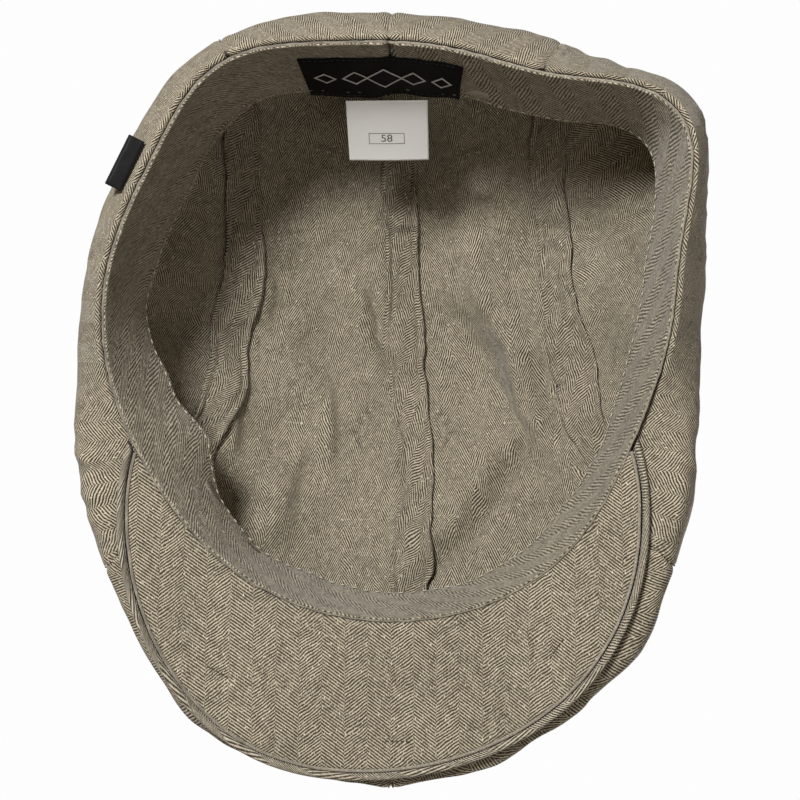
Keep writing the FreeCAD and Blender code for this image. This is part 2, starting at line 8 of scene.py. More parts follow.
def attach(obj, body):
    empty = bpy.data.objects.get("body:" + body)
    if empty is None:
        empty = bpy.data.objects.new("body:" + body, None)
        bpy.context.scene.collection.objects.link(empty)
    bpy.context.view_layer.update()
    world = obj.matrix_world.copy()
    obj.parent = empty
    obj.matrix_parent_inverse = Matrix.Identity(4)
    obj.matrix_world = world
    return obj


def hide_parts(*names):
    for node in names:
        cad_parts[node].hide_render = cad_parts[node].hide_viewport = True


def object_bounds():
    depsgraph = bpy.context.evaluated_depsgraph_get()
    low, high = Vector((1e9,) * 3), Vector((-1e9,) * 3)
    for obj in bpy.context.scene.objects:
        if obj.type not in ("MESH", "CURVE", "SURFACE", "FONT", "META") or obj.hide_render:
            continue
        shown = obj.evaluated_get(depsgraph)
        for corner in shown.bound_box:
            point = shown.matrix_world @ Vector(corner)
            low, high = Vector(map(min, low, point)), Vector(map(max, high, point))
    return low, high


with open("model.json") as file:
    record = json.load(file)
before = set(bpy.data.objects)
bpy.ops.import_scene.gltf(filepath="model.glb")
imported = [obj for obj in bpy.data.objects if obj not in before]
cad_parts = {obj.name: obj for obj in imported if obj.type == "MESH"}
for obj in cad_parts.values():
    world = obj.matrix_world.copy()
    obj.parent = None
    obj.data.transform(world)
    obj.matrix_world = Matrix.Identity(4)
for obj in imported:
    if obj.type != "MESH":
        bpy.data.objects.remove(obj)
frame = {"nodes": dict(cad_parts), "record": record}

cad_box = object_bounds()

# ------------------------------------------------------------------ crown top panels
# Two panels of herringbone cloth, cut with the columns running from back to front and
# sewn together over the centre of the head.  Both turn in under the crown at the back
# and in front, where they are caught in the rim seam.
MM = 0.001
HEAD_GIRTH = 580.0
CROWN_HEIGHT = 95.0
BACK_OVERHANG, SIDE_OVERHANG, FRONT_OVERHANG = 13.0, 9.5, 2.5
BRIM_BACK, BRIM_SIDE, BRIM_RISE_FRONT = 28.0, 24.0, 1.5
RIM_LAYERS = 3.0
SEAM_LAP, TURN_LAP = 0.3, 0.3
SEAM_FRONT, SEAM_BACK = 51.0, 150.0
VISOR_LENGTH, VISOR_WIDTH, VISOR_WIDEST = 48.0, 166.0, 53.0
VISOR_SLOPE, VISOR_ARCH = 0.13, 0.002
VISOR_STACK, PLY_GAP = 3.3, 0.25
VISOR_BLUNT, VISOR_BACK, VISOR_SHIFT, VISOR_SKEW = 2.1, 70.0, 2.5, 6.5
CROWN_BLUNT, CROWN_TWIST, CROWN_SHIFT = 2.3, 3.5, 1.5
# How the soft opening and the crown's outline swell at their rear corners and are pressed
# in elsewhere: place round the cap, width in degrees, and height.
OPENING_SWELLS = [(-127.5, 16.0, 0.24), (148.0, 17.0, 0.10), (-68.0, 28.0, -0.085), (58.0, 25.0, -0.03)]
CROWN_SWELLS = [(-127.5, 14.0, 16.0), (148.0, 17.0, 3.0), (115.0, 18.0, -4.0), (45.0, 15.0, -3.0),
                (-92.0, 12.0, -2.0)]


def ease(x):
    """Smooth step from 0 to 1."""
    x = min(1.0, max(0.0, x))
    return x * x * (3.0 - 2.0 * x)


def bump(angle, centre, width):
    """Smooth bump of height 1 at one place round the cap."""
    away = (angle - centre + 180.0) % 360.0 - 180.0
    return math.exp(-(away / width) ** 2)


def swollen(size, angle, swells):
    """A size with the swells at one angle added to it."""
    for centre, width, height in swells:
        size += height * bump(angle, centre, width)
    return size


def frontward(angle):
    """1 in front, 0 at the sides and -1 at the back."""
    return math.cos(math.radians(angle))


def on_plan(angle, radius):
    """Plan place at an angle from the front centre, positive to the wearer's left."""
    turn = math.radians(angle)
    return Vector((radius * math.sin(turn), -radius * math.cos(turn), 0.0))


turns = [on_plan(a, swollen(1.0, a, OPENING_SWELLS)) for a in range(361)]
OPENING = HEAD_GIRTH / sum((a - b).length for a, b in zip(turns, turns[1:]))


def rim_radius(angle, outward=0.0):
    """The sweatband's inner face at the rim, or an outline outside it."""
    return OPENING * swollen(1.0, angle, OPENING_SWELLS) + outward


FRONT_EDGE = rim_radius(0.0, 2.0) + VISOR_LENGTH


def visor_point(turn, inset=0.0):
    """Place on the visor's outline, by its turn about the middle of the widest line."""
    across, along = math.sin(math.radians(turn)), math.cos(math.radians(turn))
    half = VISOR_WIDTH / 2.0 - inset
    forward = FRONT_EDGE - VISOR_WIDEST - inset
    reach = forward if along > 0.0 else VISOR_BACK - inset
    power = 2.0 / VISOR_BLUNT
    x = half * math.copysign(abs(across) ** power, across)
    ahead = reach * math.copysign(abs(along) ** power, along)
    skew = VISOR_SHIFT + VISOR_SKEW * max(0.0, ahead / forward) ** 4
    return Vector((x + skew, -VISOR_WIDEST - ahead, 0.0))


def visor_fall(x, y):
    """Fall of the visor's underside from the middle to the front and the sides."""
    return VISOR_SLOPE * y - VISOR_ARCH * x * x


VISOR_LIFT = -min(visor_fall(*visor_point(turn).xy) for turn in range(0, 360, 5))


def visor_height(x, y):
    """Underside of the visor."""
    return VISOR_LIFT + visor_fall(x, y)


def crown_radius(angle):
    """Widest plan outline of the crown."""
    ahead = max(0.0, frontward(angle))
    turned = math.radians(angle - CROWN_TWIST * ahead * ahead)
    across, along = math.sin(turned), math.cos(turned)
    rim = OPENING + RIM_LAYERS
    reach = FRONT_EDGE + FRONT_OVERHANG if along >= 0.0 else rim + BACK_OVERHANG
    blunt = (abs(along) / reach) ** CROWN_BLUNT + (abs(across) / (rim + SIDE_OVERHANG)) ** CROWN_BLUNT
    return swollen(blunt ** (-1.0 / CROWN_BLUNT) + CROWN_SHIFT * across, angle, CROWN_SWELLS)


def rim_height(angle):
    """The rim is level at the back and sides and climbs to the visor in front."""
    at = on_plan(angle, rim_radius(angle))
    return ease((frontward(angle) + 0.26) / 0.7) * visor_height(at.x, at.y)


def by_side(angle, front, side, back):
    """Blend of a front, a side and a back value."""
    along = frontward(angle)
    return (front if along > 0.0 else back) * along ** 2 + side * (1.0 - along ** 2)


ON_VISOR = VISOR_STACK + 2.0 * PLY_GAP
BRIM_FRONT = visor_height(0.0, -FRONT_EDGE) + ON_VISOR + BRIM_RISE_FRONT


def brim_height(angle):
    """Height of the crown's widest line."""
    side = by_side(angle, BRIM_SIDE, BRIM_SIDE, BRIM_BACK)
    return side + (BRIM_FRONT - side) * ease(frontward(angle) / 0.8)


# Folds of the loose cloth: plan places along the crest, width on its left and on its
# right going along it, and height inwards.
FOLDS = [([(-30.0, 38.0), (-46.0, -2.0), (-50.0, -24.0), (-62.0, -42.0)], 9.0, 3.4, 7.5),
         ([(-24.0, 50.0), (-34.0, 22.0), (-41.0, 2.0)], 7.0, 3.2, 5.5),
         ([(-34.5, 37.0), (-50.5, -3.0), (-54.5, -25.0), (-65.0, -42.0)], 3.4, 3.4, -2.2),
         ([(-28.0, 49.0), (-38.0, 21.0), (-45.0, 2.0)], 3.2, 3.2, -1.9),
         ([(-53.0, -29.0), (-24.0, -69.0), (0.0, -90.0)], 3.6, 3.6, -2.2),
         ([(-49.0, -26.0), (-20.0, -66.0), (4.0, -88.0)], 16.0, 3.0, 8.5),
         ([(56.0, 34.0), (4.0, 54.0), (-52.0, 72.0)], 13.0, 6.0, 5.0),
         ([(12.0, 18.0), (3.0, -12.0)], 4.2, 3.6, -3.2),
         ([(18.0, 26.0), (9.0, -8.0)], 5.0, 3.0, 2.8),
         ([(50.0, 30.0), (52.0, 6.0)], 8.0, 4.0, 3.2),
         ([(29.0, -14.0), (26.0, -46.0)], 4.0, 2.6, 2.2),
         ([(36.0, -34.0), (44.0, -62.0)], 6.0, 3.5, 2.8),
         ([(20.0, -74.0), (2.0, -88.0)], 5.0, 3.4, 4.0),
         ([(-8.0, 16.0), (-30.0, -8.0)], 13.0, 9.0, -4.2),
         ([(14.0, 6.0), (-26.0, -14.0)], 5.0, 3.0, 2.6),
         ([(-60.0, 46.0), (-68.0, 6.0)], 6.0, 4.0, 2.4),
         ([(64.0, -12.0), (60.0, -46.0)], 6.0, 4.0, 2.8)]
# Places round the rim where the crown is gathered in at the visor's ends.
GATHERS = [(66.0, 10.0, 2.6), (-71.0, 10.0, 2.6), (-112.0, 18.0, 1.6), (-145.0, 10.0, 1.4),
           (112.0, 14.0, 1.4)]
CROWN_HEART = Vector((0.0, -15.0, 30.0))
TOP_LEVEL, TOP_BLEND = 40.0, 25.0


def fold_height(at, crest, left, right, height):
    """Height of one fold at a place: full in the middle of its crest, less at its ends."""
    nearest, best = None, 1e9
    for k, ((x0, y0), (x1, y1)) in enumerate(zip(crest, crest[1:])):
        run, off = Vector((x1 - x0, y1 - y0)), Vector((at.x - x0, at.y - y0))
        share = min(1.0, max(0.0, off.dot(run) / run.length_squared))
        away = (off - run * share).length
        if away < best:
            nearest, best = ((k + share) / (len(crest) - 1), run.cross(off)), away
    along, hand = nearest
    width = left if hand > 0.0 else right
    return height * math.sin(math.pi * (0.12 + 0.76 * along)) * math.exp(-(best / width) ** 2)


def slack(at, loose):
    """Moves a place on the crown in or out as the loose cloth lies."""
    if loose <= 0.0:
        return at
    stand = 2.4 * noise.noise(at / 36.0) + 1.5 * noise.noise(at / 15.0 + Vector((7.0, 3.0, 5.0)))
    stand += 0.35 * noise.noise(at / 6.0)
    top = ease((at.z - TOP_LEVEL) / TOP_BLEND)
    if top > 0.0:
        broad = 4.8 * noise.noise(at / 30.0 + Vector((2.0, 9.0, 1.0)))
        stand += top * (broad + 1.4 * noise.noise(at / 12.0))
        heights = [fold_height(at, *fold) for fold in FOLDS]
        stand -= top * (max(0.0, *heights) + min(0.0, *heights))
    out = (at - CROWN_HEART).normalized()
    return at + out * stand * loose


# How the crown rises from its widest line, in front, at the sides and at the back.
DOME_RUN, DOME_SWELL = (1.6, 2.0, 2.2), (0.8, 0.5, 0.42)


def crown_top(x, y):
    """Outer place of the crown above a plan place."""
    angle = math.degrees(math.atan2(x, -y))
    share = min(1.0, math.hypot(x, y) / crown_radius(angle))
    dome = max(0.0, 1.0 - share ** by_side(angle, *DOME_RUN)) ** by_side(angle, *DOME_SWELL)
    level = brim_height(angle)
    return slack(Vector((x, y, level + (CROWN_HEIGHT - level) * dome)), 1.0)


CURL, CURL_IN, CURL_UP = 0.15, 1.5, 1.4
FOLD_DEPTH = 8.0


def crown_under(angle, inward):
    """Outer place of the turned-in part: 0 at the widest line, 1 at the rim, then a curl."""
    q = min(1.0, inward)
    outer, inner = crown_radius(angle), rim_radius(angle, RIM_LAYERS)
    radius = outer + (inner - outer) * q * q
    level = brim_height(angle)
    wall = level + (rim_height(angle) - level) * q
    edge, at = on_plan(angle, outer), on_plan(angle, radius)
    fold = level - visor_height(edge.x, edge.y) - ON_VISOR
    along = min(1.0, (outer - radius) / FOLD_DEPTH)
    ply = visor_height(at.x, at.y) + ON_VISOR + fold * (1.0 - math.sqrt(1.0 - (1.0 - along) ** 2))
    at.z = wall + (ply - wall) * ease((frontward(angle) - 0.03) / 0.44)
    at = slack(at, (1.0 - q) ** 1.5)
    pleats = swollen(0.0, angle, GATHERS)
    pleats *= math.sin(math.pi * q) * noise.noise(Vector((angle / 3.4 + 1.5 * q, q * 0.8, 6.0)))
    at += on_plan(angle, pleats) - Vector((0.0, 0.0, pleats))
    if inward > 1.0:
        turn = (inward - 1.0) / CURL * math.pi / 2.0
        at += on_plan(angle, -CURL_IN * math.sin(turn))
        at.z += CURL_UP * (1.0 - math.cos(turn))
    return at


def side_seam(side, share, outward=0.0):
    """Plan place on a side seam, share 0 at the back and 1 in front."""
    back = on_plan(side * SEAM_BACK, crown_radius(side * SEAM_BACK))
    front = on_plan(side * SEAM_FRONT, crown_radius(side * SEAM_FRONT))
    x = back.x + (front.x - back.x) * share ** 3.0 + side * outward
    return Vector((x, back.y + (front.y - back.y) * share, 0.0))


def centre_seam(share):
    """Plan place on the centre seam, which drifts to the right in front of the top."""
    y = crown_radius(180.0) * (1.0 - share) - crown_radius(0.0) * share
    return Vector((-7.0 * math.exp(-((y + 55.0) / 38.0) ** 2), y, 0.0))


def gathered(share, pull=0.8):
    """An even share moved towards both ends, so that the rows lie closer at seams."""
    return share + (((1.0 - math.cos(math.pi * share)) / 2.0) - share) * pull


BACK_TURN, FRONT_TURN = 0.11, 0.87
INSIDE_CAP = Vector((0.0, -0.015, 0.04))
GROOVE_WIDTH, WELT_IN, WELT_WIDTH, WELT_SHARE = 1.1, 3.2, 1.6, 0.3


def top_panel(side, across, along):
    """Place on a top panel: across from the centre seam, along from the back rim."""
    back = side * (180.0 + TURN_LAP - (180.0 - SEAM_BACK + 2.0 * TURN_LAP) * across)
    front = side * (-TURN_LAP + (SEAM_FRONT + 2.0 * TURN_LAP) * across)
    if along < BACK_TURN:
        return crown_under(back, (1.0 + CURL) * (1.0 - along / BACK_TURN))
    if along > FRONT_TURN:
        return crown_under(front, (along - FRONT_TURN) / (1.0 - FRONT_TURN))
    w = gathered((along - BACK_TURN) / (FRONT_TURN - BACK_TURN), 1.0)

    def between(share):
        centre = centre_seam(share) - Vector((side * SEAM_LAP / 2.0, 0.0, 0.0))
        return centre.lerp(side_seam(side, share, SEAM_LAP / 2.0), across)

    at = (between(w) + (on_plan(back, crown_radius(back)) - between(0.0)) * (1.0 - w)
          + (on_plan(front, crown_radius(front)) - between(1.0)) * w)
    return crown_top(at.x, at.y)


def lay_cloth(name, cells, place, thickness, seams=(0, 0, 0, 0), groove=0.7, pull=0.0):
    """A piece of cloth laid over a grid of places, with its weave measured along it.

    seams says which of the edges (left, right, first, last) sink into a seam, with a low
    welt beside it where the seam's turnings lie under the cloth.
    """
    mesh = bmesh.new()
    bmesh.ops.create_grid(mesh, x_segments=cells[0], y_segments=cells[1], size=0.5)
    grid = {}
    for vert in mesh.verts:
        across, along = vert.co.x + 0.5, vert.co.y + 0.5
        grid[round(across * cells[0]), round(along * cells[1])] = vert
        vert.co = place(gathered(across, pull), along) * MM
    laid = {}
    for i in range(cells[0] + 1):
        for j in range(cells[1] + 1):
            u = laid[i - 1, j][0] + (grid[i, j].co - grid[i - 1, j].co).length if i else 0.0
            v = laid[i, j - 1][1] + (grid[i, j].co - grid[i, j - 1].co).length if j else 0.0
            laid[i, j] = (u, v)
    middle = grid[cells[0] // 2, cells[1] // 2]
    mesh.normal_update()
    if middle.normal.dot(middle.co - INSIDE_CAP) < 0.0:
        bmesh.ops.reverse_faces(mesh, faces=mesh.faces)
        mesh.normal_update()
    sunk = {}
    for (i, j), vert in grid.items():
        u, v = laid[i, j]
        edges = (u, laid[cells[0], j][0] - u, v, laid[i, cells[1]][1] - v)
        away = min([edge / MM for wanted, edge in zip(seams, edges) if wanted] + [99.0])
        welt = WELT_SHARE * math.exp(-((away - WELT_IN) / WELT_WIDTH) ** 2)
        depth = math.exp(-(away / GROOVE_WIDTH) ** 2) - welt
        sunk[vert] = vert.co - vert.normal * depth * groove * MM
    for vert, co in sunk.items():
        vert.co = co
    weave = mesh.loops.layers.uv.new("weave")
    index = {vert: key for key, vert in grid.items()}
    for face in mesh.faces:
        face.smooth = True
        for loop in face.loops:
            loop[weave].uv = laid[index[loop.vert]]
    return finish_cloth(name, mesh, thickness)


def stand_in_scene(name, data):
    """A new object, linked into the scene."""
    thing = bpy.data.objects.new(name, data)
    bpy.context.scene.collection.objects.link(thing)
    return thing


def finish_cloth(name, mesh, thickness):
    """Makes the object, and gives the cloth its thickness towards its back."""
    data = bpy.data.meshes.new(name)
    mesh.to_mesh(data)
    mesh.free()
    piece = stand_in_scene(name, data)
    if thickness:
        solid = piece.modifiers.new("thickness", "SOLIDIFY")
        solid.thickness = thickness * MM
        solid.offset = -1.0
    return piece


UNFOLD_STEP = 4


def unfold(piece, cells, low, high):
    """Lays the weave out flat and to size, its columns running from one grid place to another.

    A coarser net of the same places is unwrapped, and the rest lies evenly between.
    """
    counts = (cells[0] // UNFOLD_STEP, cells[1] // UNFOLD_STEP)
    net = bmesh.new()
    bmesh.ops.create_grid(net, x_segments=counts[0], y_segments=counts[1], size=0.5)
    knots = {}
    for vert in net.verts:
        i, j = round((vert.co.x + 0.5) * counts[0]), round((vert.co.y + 0.5) * counts[1])
        knots[vert.index] = (i, j)
        vert.co = piece.data.vertices[(j * (cells[0] + 1) + i) * UNFOLD_STEP].co
    net.loops.layers.uv.new("weave")
    flat = finish_cloth("flat net", net, 0.0)
    bpy.context.view_layer.objects.active = flat
    flat.select_set(True)
    bpy.ops.object.mode_set(mode="EDIT")
    bpy.ops.mesh.select_all(action="SELECT")
    bpy.ops.uv.unwrap(method="ANGLE_BASED", margin=0.0)
    bpy.ops.object.mode_set(mode="OBJECT")
    drawn = flat.data.uv_layers["weave"].data
    spots = {knots[loop.vertex_index]: drawn[loop.index].uv.copy() for loop in flat.data.loops}
    start = spots[low]
    run = spots[high] - start
    size = 0.0
    for face in flat.data.polygons:
        ring = [spots[knots[k]] for k in face.vertices]
        size += abs(sum(a.cross(b) for a, b in zip(ring, ring[1:] + ring[:1]))) / 2.0
    scale = math.sqrt(sum(face.area for face in flat.data.polygons) / size)
    turn = Matrix.Rotation(math.atan2(run.x, run.y), 2)
    bpy.data.objects.remove(flat)
    weave = piece.data.uv_layers["weave"].data
    for loop in piece.data.loops:
        row, column = divmod(loop.vertex_index, cells[0] + 1)
        i, j = min(column // UNFOLD_STEP, counts[0] - 1), min(row // UNFOLD_STEP, counts[1] - 1)
        right, up = column / UNFOLD_STEP - i, row / UNFOLD_STEP - j
        below = spots[i, j].lerp(spots[i + 1, j], right)
        above = spots[i, j + 1].lerp(spots[i + 1, j + 1], right)
        weave[loop.index].uv = turn @ (below.lerp(above, up) - start) * scale


def new_effect(name, numbers, colours, results):
    """A node group with number and colour sockets going in and its results coming out."""
    group = bpy.data.node_groups.new(name, "ShaderNodeTree")
    sockets = [(label, "INPUT", "Float") for label in numbers]
    sockets += [(label, "INPUT", "Color") for label in colours]
    sockets += [(label, "OUTPUT", "Float" if label == "Height" else "Color") for label in results]
    for label, way, kind in sockets:
        group.interface.new_socket(label, in_out=way, socket_type="NodeSocket" + kind)
    return group, group.nodes.new("NodeGroupInput"), group.nodes.new("NodeGroupOutput")


def set_inputs(node, values):
    """Sets a node's inputs, given by their names."""
    for label, value in values.items():
        node.inputs[label].default_value = value


def new_finish(name, **settings):
    """A material with its nodes, its links and its shader, settings given by socket name."""
    finish = bpy.data.materials.new(name)
    finish.use_nodes = True
    nodes = finish.node_tree.nodes
    shader = nodes["Principled BSDF"]
    set_inputs(shader, {label.replace("_", " "): value for label, value in settings.items()})
    return finish, nodes, finish.node_tree.links, shader


def herringbone_weave():
    """Node group: twill lines that turn back in every column, yarn by yarn, with flecks."""
    numbers = ("Column", "Pitch", "Slope", "Turn", "Contrast")
    group, given, out = new_effect("herringbone weave", numbers, ("Light yarn", "Dark yarn"),
                                   ("Colour", "Height"))
    nodes, links = group.nodes, group.links

    def feed(socket, value):
        if isinstance(value, (float, tuple)):
            socket.default_value = value
        else:
            links.new(value, socket)

    def sums(kind, *values):
        node = nodes.new("ShaderNodeMath")
        node.operation = kind
        for socket, value in zip(node.inputs, values):
            feed(socket, value)
        return node.outputs[0]

    def grain(scale, detail, vector, stretch=(1.0, 1.0, 1.0)):
        squeeze = nodes.new("ShaderNodeMapping")
        squeeze.inputs["Scale"].default_value = stretch
        links.new(vector, squeeze.inputs["Vector"])
        node = nodes.new("ShaderNodeTexNoise")
        set_inputs(node, {"Scale": scale, "Detail": detail})
        links.new(squeeze.outputs[0], node.inputs["Vector"])
        return node.outputs["Fac"]

    def mix(kind, share, one, two):
        node = nodes.new("ShaderNodeMix")
        node.data_type = "RGBA"
        node.blend_type = kind
        for slot, value in ((0, share), (6, one), (7, two)):
            feed(node.inputs[slot], value)
        return node.outputs[2]

    uv = nodes.new("ShaderNodeUVMap")
    uv.uv_map = "weave"
    lie = nodes.new("ShaderNodeVectorRotate")
    lie.rotation_type = "Z_AXIS"
    links.new(uv.outputs[0], lie.inputs["Vector"])
    links.new(given.outputs["Turn"], lie.inputs["Angle"])
    split = nodes.new("ShaderNodeSeparateXYZ")
    links.new(lie.outputs[0], split.inputs[0])
    waver = sums("MULTIPLY", sums("SUBTRACT", grain(180.0, 2.0, uv.outputs[0]), 0.5), 0.0011)
    u = sums("ADD", split.outputs[0], waver)
    v = sums("ADD", split.outputs[1], waver)
    column = sums("PINGPONG", u, given.outputs["Column"])
    parity = sums("MODULO", sums("FLOOR", sums("DIVIDE", u, given.outputs["Column"])), 2.0)
    climb = sums("SUBTRACT", v, sums("MULTIPLY", column, given.outputs["Slope"]))
    phase = sums("ADD", sums("DIVIDE", climb, given.outputs["Pitch"]), sums("MULTIPLY", parity, 0.5))
    ridge = sums("MULTIPLY_ADD", sums("COSINE", sums("MULTIPLY", phase, 2.0 * math.pi)), 0.5, 0.5)
    yarns = grain(2300.0, 2.0, lie.outputs[0], (1.0, 0.5, 1.0))
    slubs = grain(420.0, 2.0, lie.outputs[0], (1.0, 0.6, 1.0))
    patches = grain(70.0, 3.0, uv.outputs[0])
    worn = sums("MULTIPLY_ADD", sums("SUBTRACT", patches, 0.5), 1.8, given.outputs["Contrast"])
    share = sums("MULTIPLY_ADD", sums("SUBTRACT", ridge, 0.5), worn, 0.33)
    share = sums("ADD", share, sums("MULTIPLY", sums("SUBTRACT", yarns, 0.5), 1.6))
    share = sums("ADD", share, sums("MULTIPLY", sums("SUBTRACT", slubs, 0.5), 0.8))
    colour = mix("MIX", sums("MAXIMUM", sums("MINIMUM", share, 1.0), 0.0),
                 given.outputs["Dark yarn"], given.outputs["Light yarn"])
    flecks = grain(2100.0, 1.0, lie.outputs[0], (1.0, 0.4, 1.0))
    fleck = sums("MULTIPLY", sums("SUBTRACT", flecks, 0.63), 7.0)
    fleck = sums("MAXIMUM", sums("MINIMUM", fleck, 0.85), 0.0)
    colour = mix("MIX", fleck, colour, FLECK)
    cloud = sums("MULTIPLY_ADD", grain(24.0, 4.0, uv.outputs[0]), 0.5, 0.75)
    shade = nodes.new("ShaderNodeCombineColor")
    for socket in shade.inputs[:3]:
        links.new(cloud, socket)
    colour = mix("MULTIPLY", 1.0, colour, shade.outputs[0])
    links.new(colour, out.inputs["Colour"])
    links.new(sums("MULTIPLY_ADD", yarns, 0.35, sums("MULTIPLY", ridge, 0.65)), out.inputs["Height"])
    return group


FLECK = (0.66, 0.61, 0.5, 1.0)
HERRINGBONE = herringbone_weave()


def woven_cloth(name, light, dark, column, pitch, slope, turn=0.0, contrast=1.35, relief=0.22):
    """Matt cloth in the herringbone weave; sizes in millimetres, turn in degrees."""
    cloth, nodes, links, shader = new_finish(name, Roughness=0.92, Specular_IOR_Level=0.2,
                                             Sheen_Weight=0.12, Sheen_Roughness=0.5)
    weave = nodes.new("ShaderNodeGroup")
    weave.node_tree = HERRINGBONE
    set_inputs(weave, {"Light yarn": (*light, 1.0), "Dark yarn": (*dark, 1.0),
                       "Column": column * MM, "Pitch": pitch * MM, "Slope": slope,
                       "Turn": math.radians(turn), "Contrast": contrast})
    bumps = nodes.new("ShaderNodeBump")
    set_inputs(bumps, {"Strength": 1.0, "Distance": relief * MM})
    links.new(weave.outputs["Colour"], shader.inputs["Base Color"])
    links.new(weave.outputs["Height"], bumps.inputs["Height"])
    links.new(bumps.outputs[0], shader.inputs["Normal"])
    return cloth


LIGHT_TAUPE, DARK_TAUPE = (0.48, 0.417, 0.308), (0.034, 0.027, 0.017)
crown_tweed = woven_cloth("crown tweed", LIGHT_TAUPE, DARK_TAUPE, 5.8, 1.75, 2.1)
TOP_CELLS = (92, 280)

for side, hand in ((1.0, "left"), (-1.0, "right")):
    panel = lay_cloth("crown_top_panel_" + hand, TOP_CELLS, lambda s, t: top_panel(side, s, t), 1.0,
                      seams=(1, 1, 0, 0), pull=0.75)
    unfold(panel, TOP_CELLS, (2, 20), (2, 55))
    panel.data.materials.append(crown_tweed)
    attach(panel, "cap")
    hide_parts("crown_top_" + hand)

# ----------------------------------------------------------------- crown side panels
# One panel of the same cloth each side, cut with the columns upright.  It runs from the
# side seam over the crown's widest line and in under it to the rim.


def side_panel(side, across, along):
    """Place on a side panel: across from back to front, along from the seam to the rim."""
    at = side_seam(side, gathered(across, 1.0), -SEAM_LAP / 2.0)
    angle = math.degrees(math.atan2(at.x, -at.y))
    radius = min(at.length, crown_radius(angle))
    start = math.asin(radius / crown_radius(angle)) / (math.pi / 2.0)
    level = start + (2.0 + CURL - start) * along
    if level < 1.0:
        at = on_plan(angle, crown_radius(angle) * math.sin(level * math.pi / 2.0))
        return crown_top(at.x, at.y)
    return crown_under(angle, level - 1.0)


side_tweed = woven_cloth("crown side tweed", LIGHT_TAUPE, DARK_TAUPE, 6.4, 1.0, 0.75)
SIDE_CELLS = (140, 88)
for side, hand in ((1.0, "left"), (-1.0, "right")):
    panel = lay_cloth("crown_side_panel_" + hand, SIDE_CELLS, lambda s, t: side_panel(side, s, t), 1.0,
                      seams=(1, 1, 1, 0))
    unfold(panel, SIDE_CELLS, (17, 1), (17, 16))
    panel.data.materials.append(side_tweed)
    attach(panel, "cap")
    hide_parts("crown_side_" + hand)

# ------------------------------------------------------------------------ seam tapes
# Strips of lighter cloth with both long edges folded under.  They cover the crown's
# three seams on the inside, and each is stitched down along both edges.
TAPE_WIDTH, TAPE_DEPTH = 13.0, 2.6
TAPE_HEM, TAPE_STITCH_PITCH = 2.3, 3.1


def under_crown(x, y, depth):
    """Place at a depth under the crown's outer face, square to it."""
    here = crown_top(x, y)
    reach = 1.5
    east, north = crown_top(x + reach, y), crown_top(x, y + reach)
    west, south = crown_top(x - reach, y), crown_top(x, y - reach)
    return here - (east - west).cross(north - south).normalized() * depth


def beside(route, share, off):
    """Plan place beside a seam."""
    ahead = route(share + 0.01) - route(share - 0.01)
    return route(share) + Vector((-ahead.y, ahead.x, 0.0)).normalized() * off


def tape_place(route, ends, across, along):
    """Place on a tape, thicker at its folded edges and a little puckered by the thread."""
    share = ends[0] + (ends[1] - ends[0]) * gathered(along, 0.7)
    off = (across - 0.5) * TAPE_WIDTH
    at = beside(route, share, off)
    edge = TAPE_WIDTH / 2.0 - abs(off)
    puff = 0.6 * math.exp(-((edge - 0.9) / 0.7) ** 2)
    puff -= 0.6 * math.exp(-((edge - TAPE_HEM) / 0.6) ** 2)
    pucker = 1.3 * noise.noise(Vector((off / 9.0, share * 34.0, 2.0)))
    pucker += 0.3 * noise.noise(Vector((off / 4.0, share * 80.0, 5.0)))
    return under_crown(at.x, at.y, TAPE_DEPTH + puff + pucker)


THREAD_SIZE = (2.3, 0.42, 0.34)


def stitch_row(name, spots, material, body="cap", size=THREAD_SIZE):
    """A row of stitches, one slim bead of thread between each two spots of a line."""
    mesh = bmesh.new()
    for here, there in zip(spots, spots[1:]):
        run = there - here
        turn = run.to_track_quat("X", "Z").to_matrix().to_4x4()
        shape = Matrix.Diagonal([side / 2.0 * MM for side in size] + [1.0])
        middle = Matrix.Translation((here + there) / 2.0 * MM)
        bmesh.ops.create_icosphere(mesh, subdivisions=1, radius=1.0, matrix=middle @ turn @ shape)
    for face in mesh.faces:
        face.smooth = True
    row = finish_cloth(name, mesh, 0.0)
    row.data.materials.append(material)
    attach(row, body)
    return row


def spots_along(line, pitch):
    """Evenly spaced spots along a line, given as a function of a share from 0 to 1."""
    steps = 400
    fine = [line(k / steps) for k in range(steps + 1)]
    spots = [fine[0]]
    for point in fine:
        if (point - spots[-1]).length >= pitch:
            spots.append(point)
    return spots


def mottle():
    """Node group: two shades that drift into each other in a fine grain."""
    group, given, out = new_effect("mottle", ("Grain",), ("Dark", "Light"), ("Colour",))
    nodes, links = group.nodes, group.links
    where, drift = nodes.new("ShaderNodeTexCoord"), nodes.new("ShaderNodeTexNoise")
    both = nodes.new("ShaderNodeMix")
    both.data_type = "RGBA"
    links.new(where.outputs["Object"], drift.inputs["Vector"])
    links.new(given.outputs["Grain"], drift.inputs["Scale"])
    links.new(drift.outputs["Fac"], both.inputs[0])
    links.new(given.outputs["Dark"], both.inputs[6])
    links.new(given.outputs["Light"], both.inputs[7])
    links.new(both.outputs[2], out.inputs["Colour"])
    return group


MOTTLE = mottle()


def mottled_finish(name, roughness, grain, dark, light):
    """A finish in two shades, grain by grain."""
    finish, nodes, links, shader = new_finish(name, Roughness=roughness)
    shades = nodes.new("ShaderNodeGroup")
    shades.node_tree = MOTTLE
    set_inputs(shades, {"Grain": grain, "Dark": (*dark, 1.0), "Light": (*light, 1.0)})
    links.new(shades.outputs["Colour"], shader.inputs["Base Color"])
    return finish


def thread_finish(name, colour):
    """Spun thread: a little lighter along the twist."""
    return mottled_finish(name, 0.7, 900.0, [0.55 * c for c in colour],
                          [min(1.0, 1.3 * c) for c in colour])


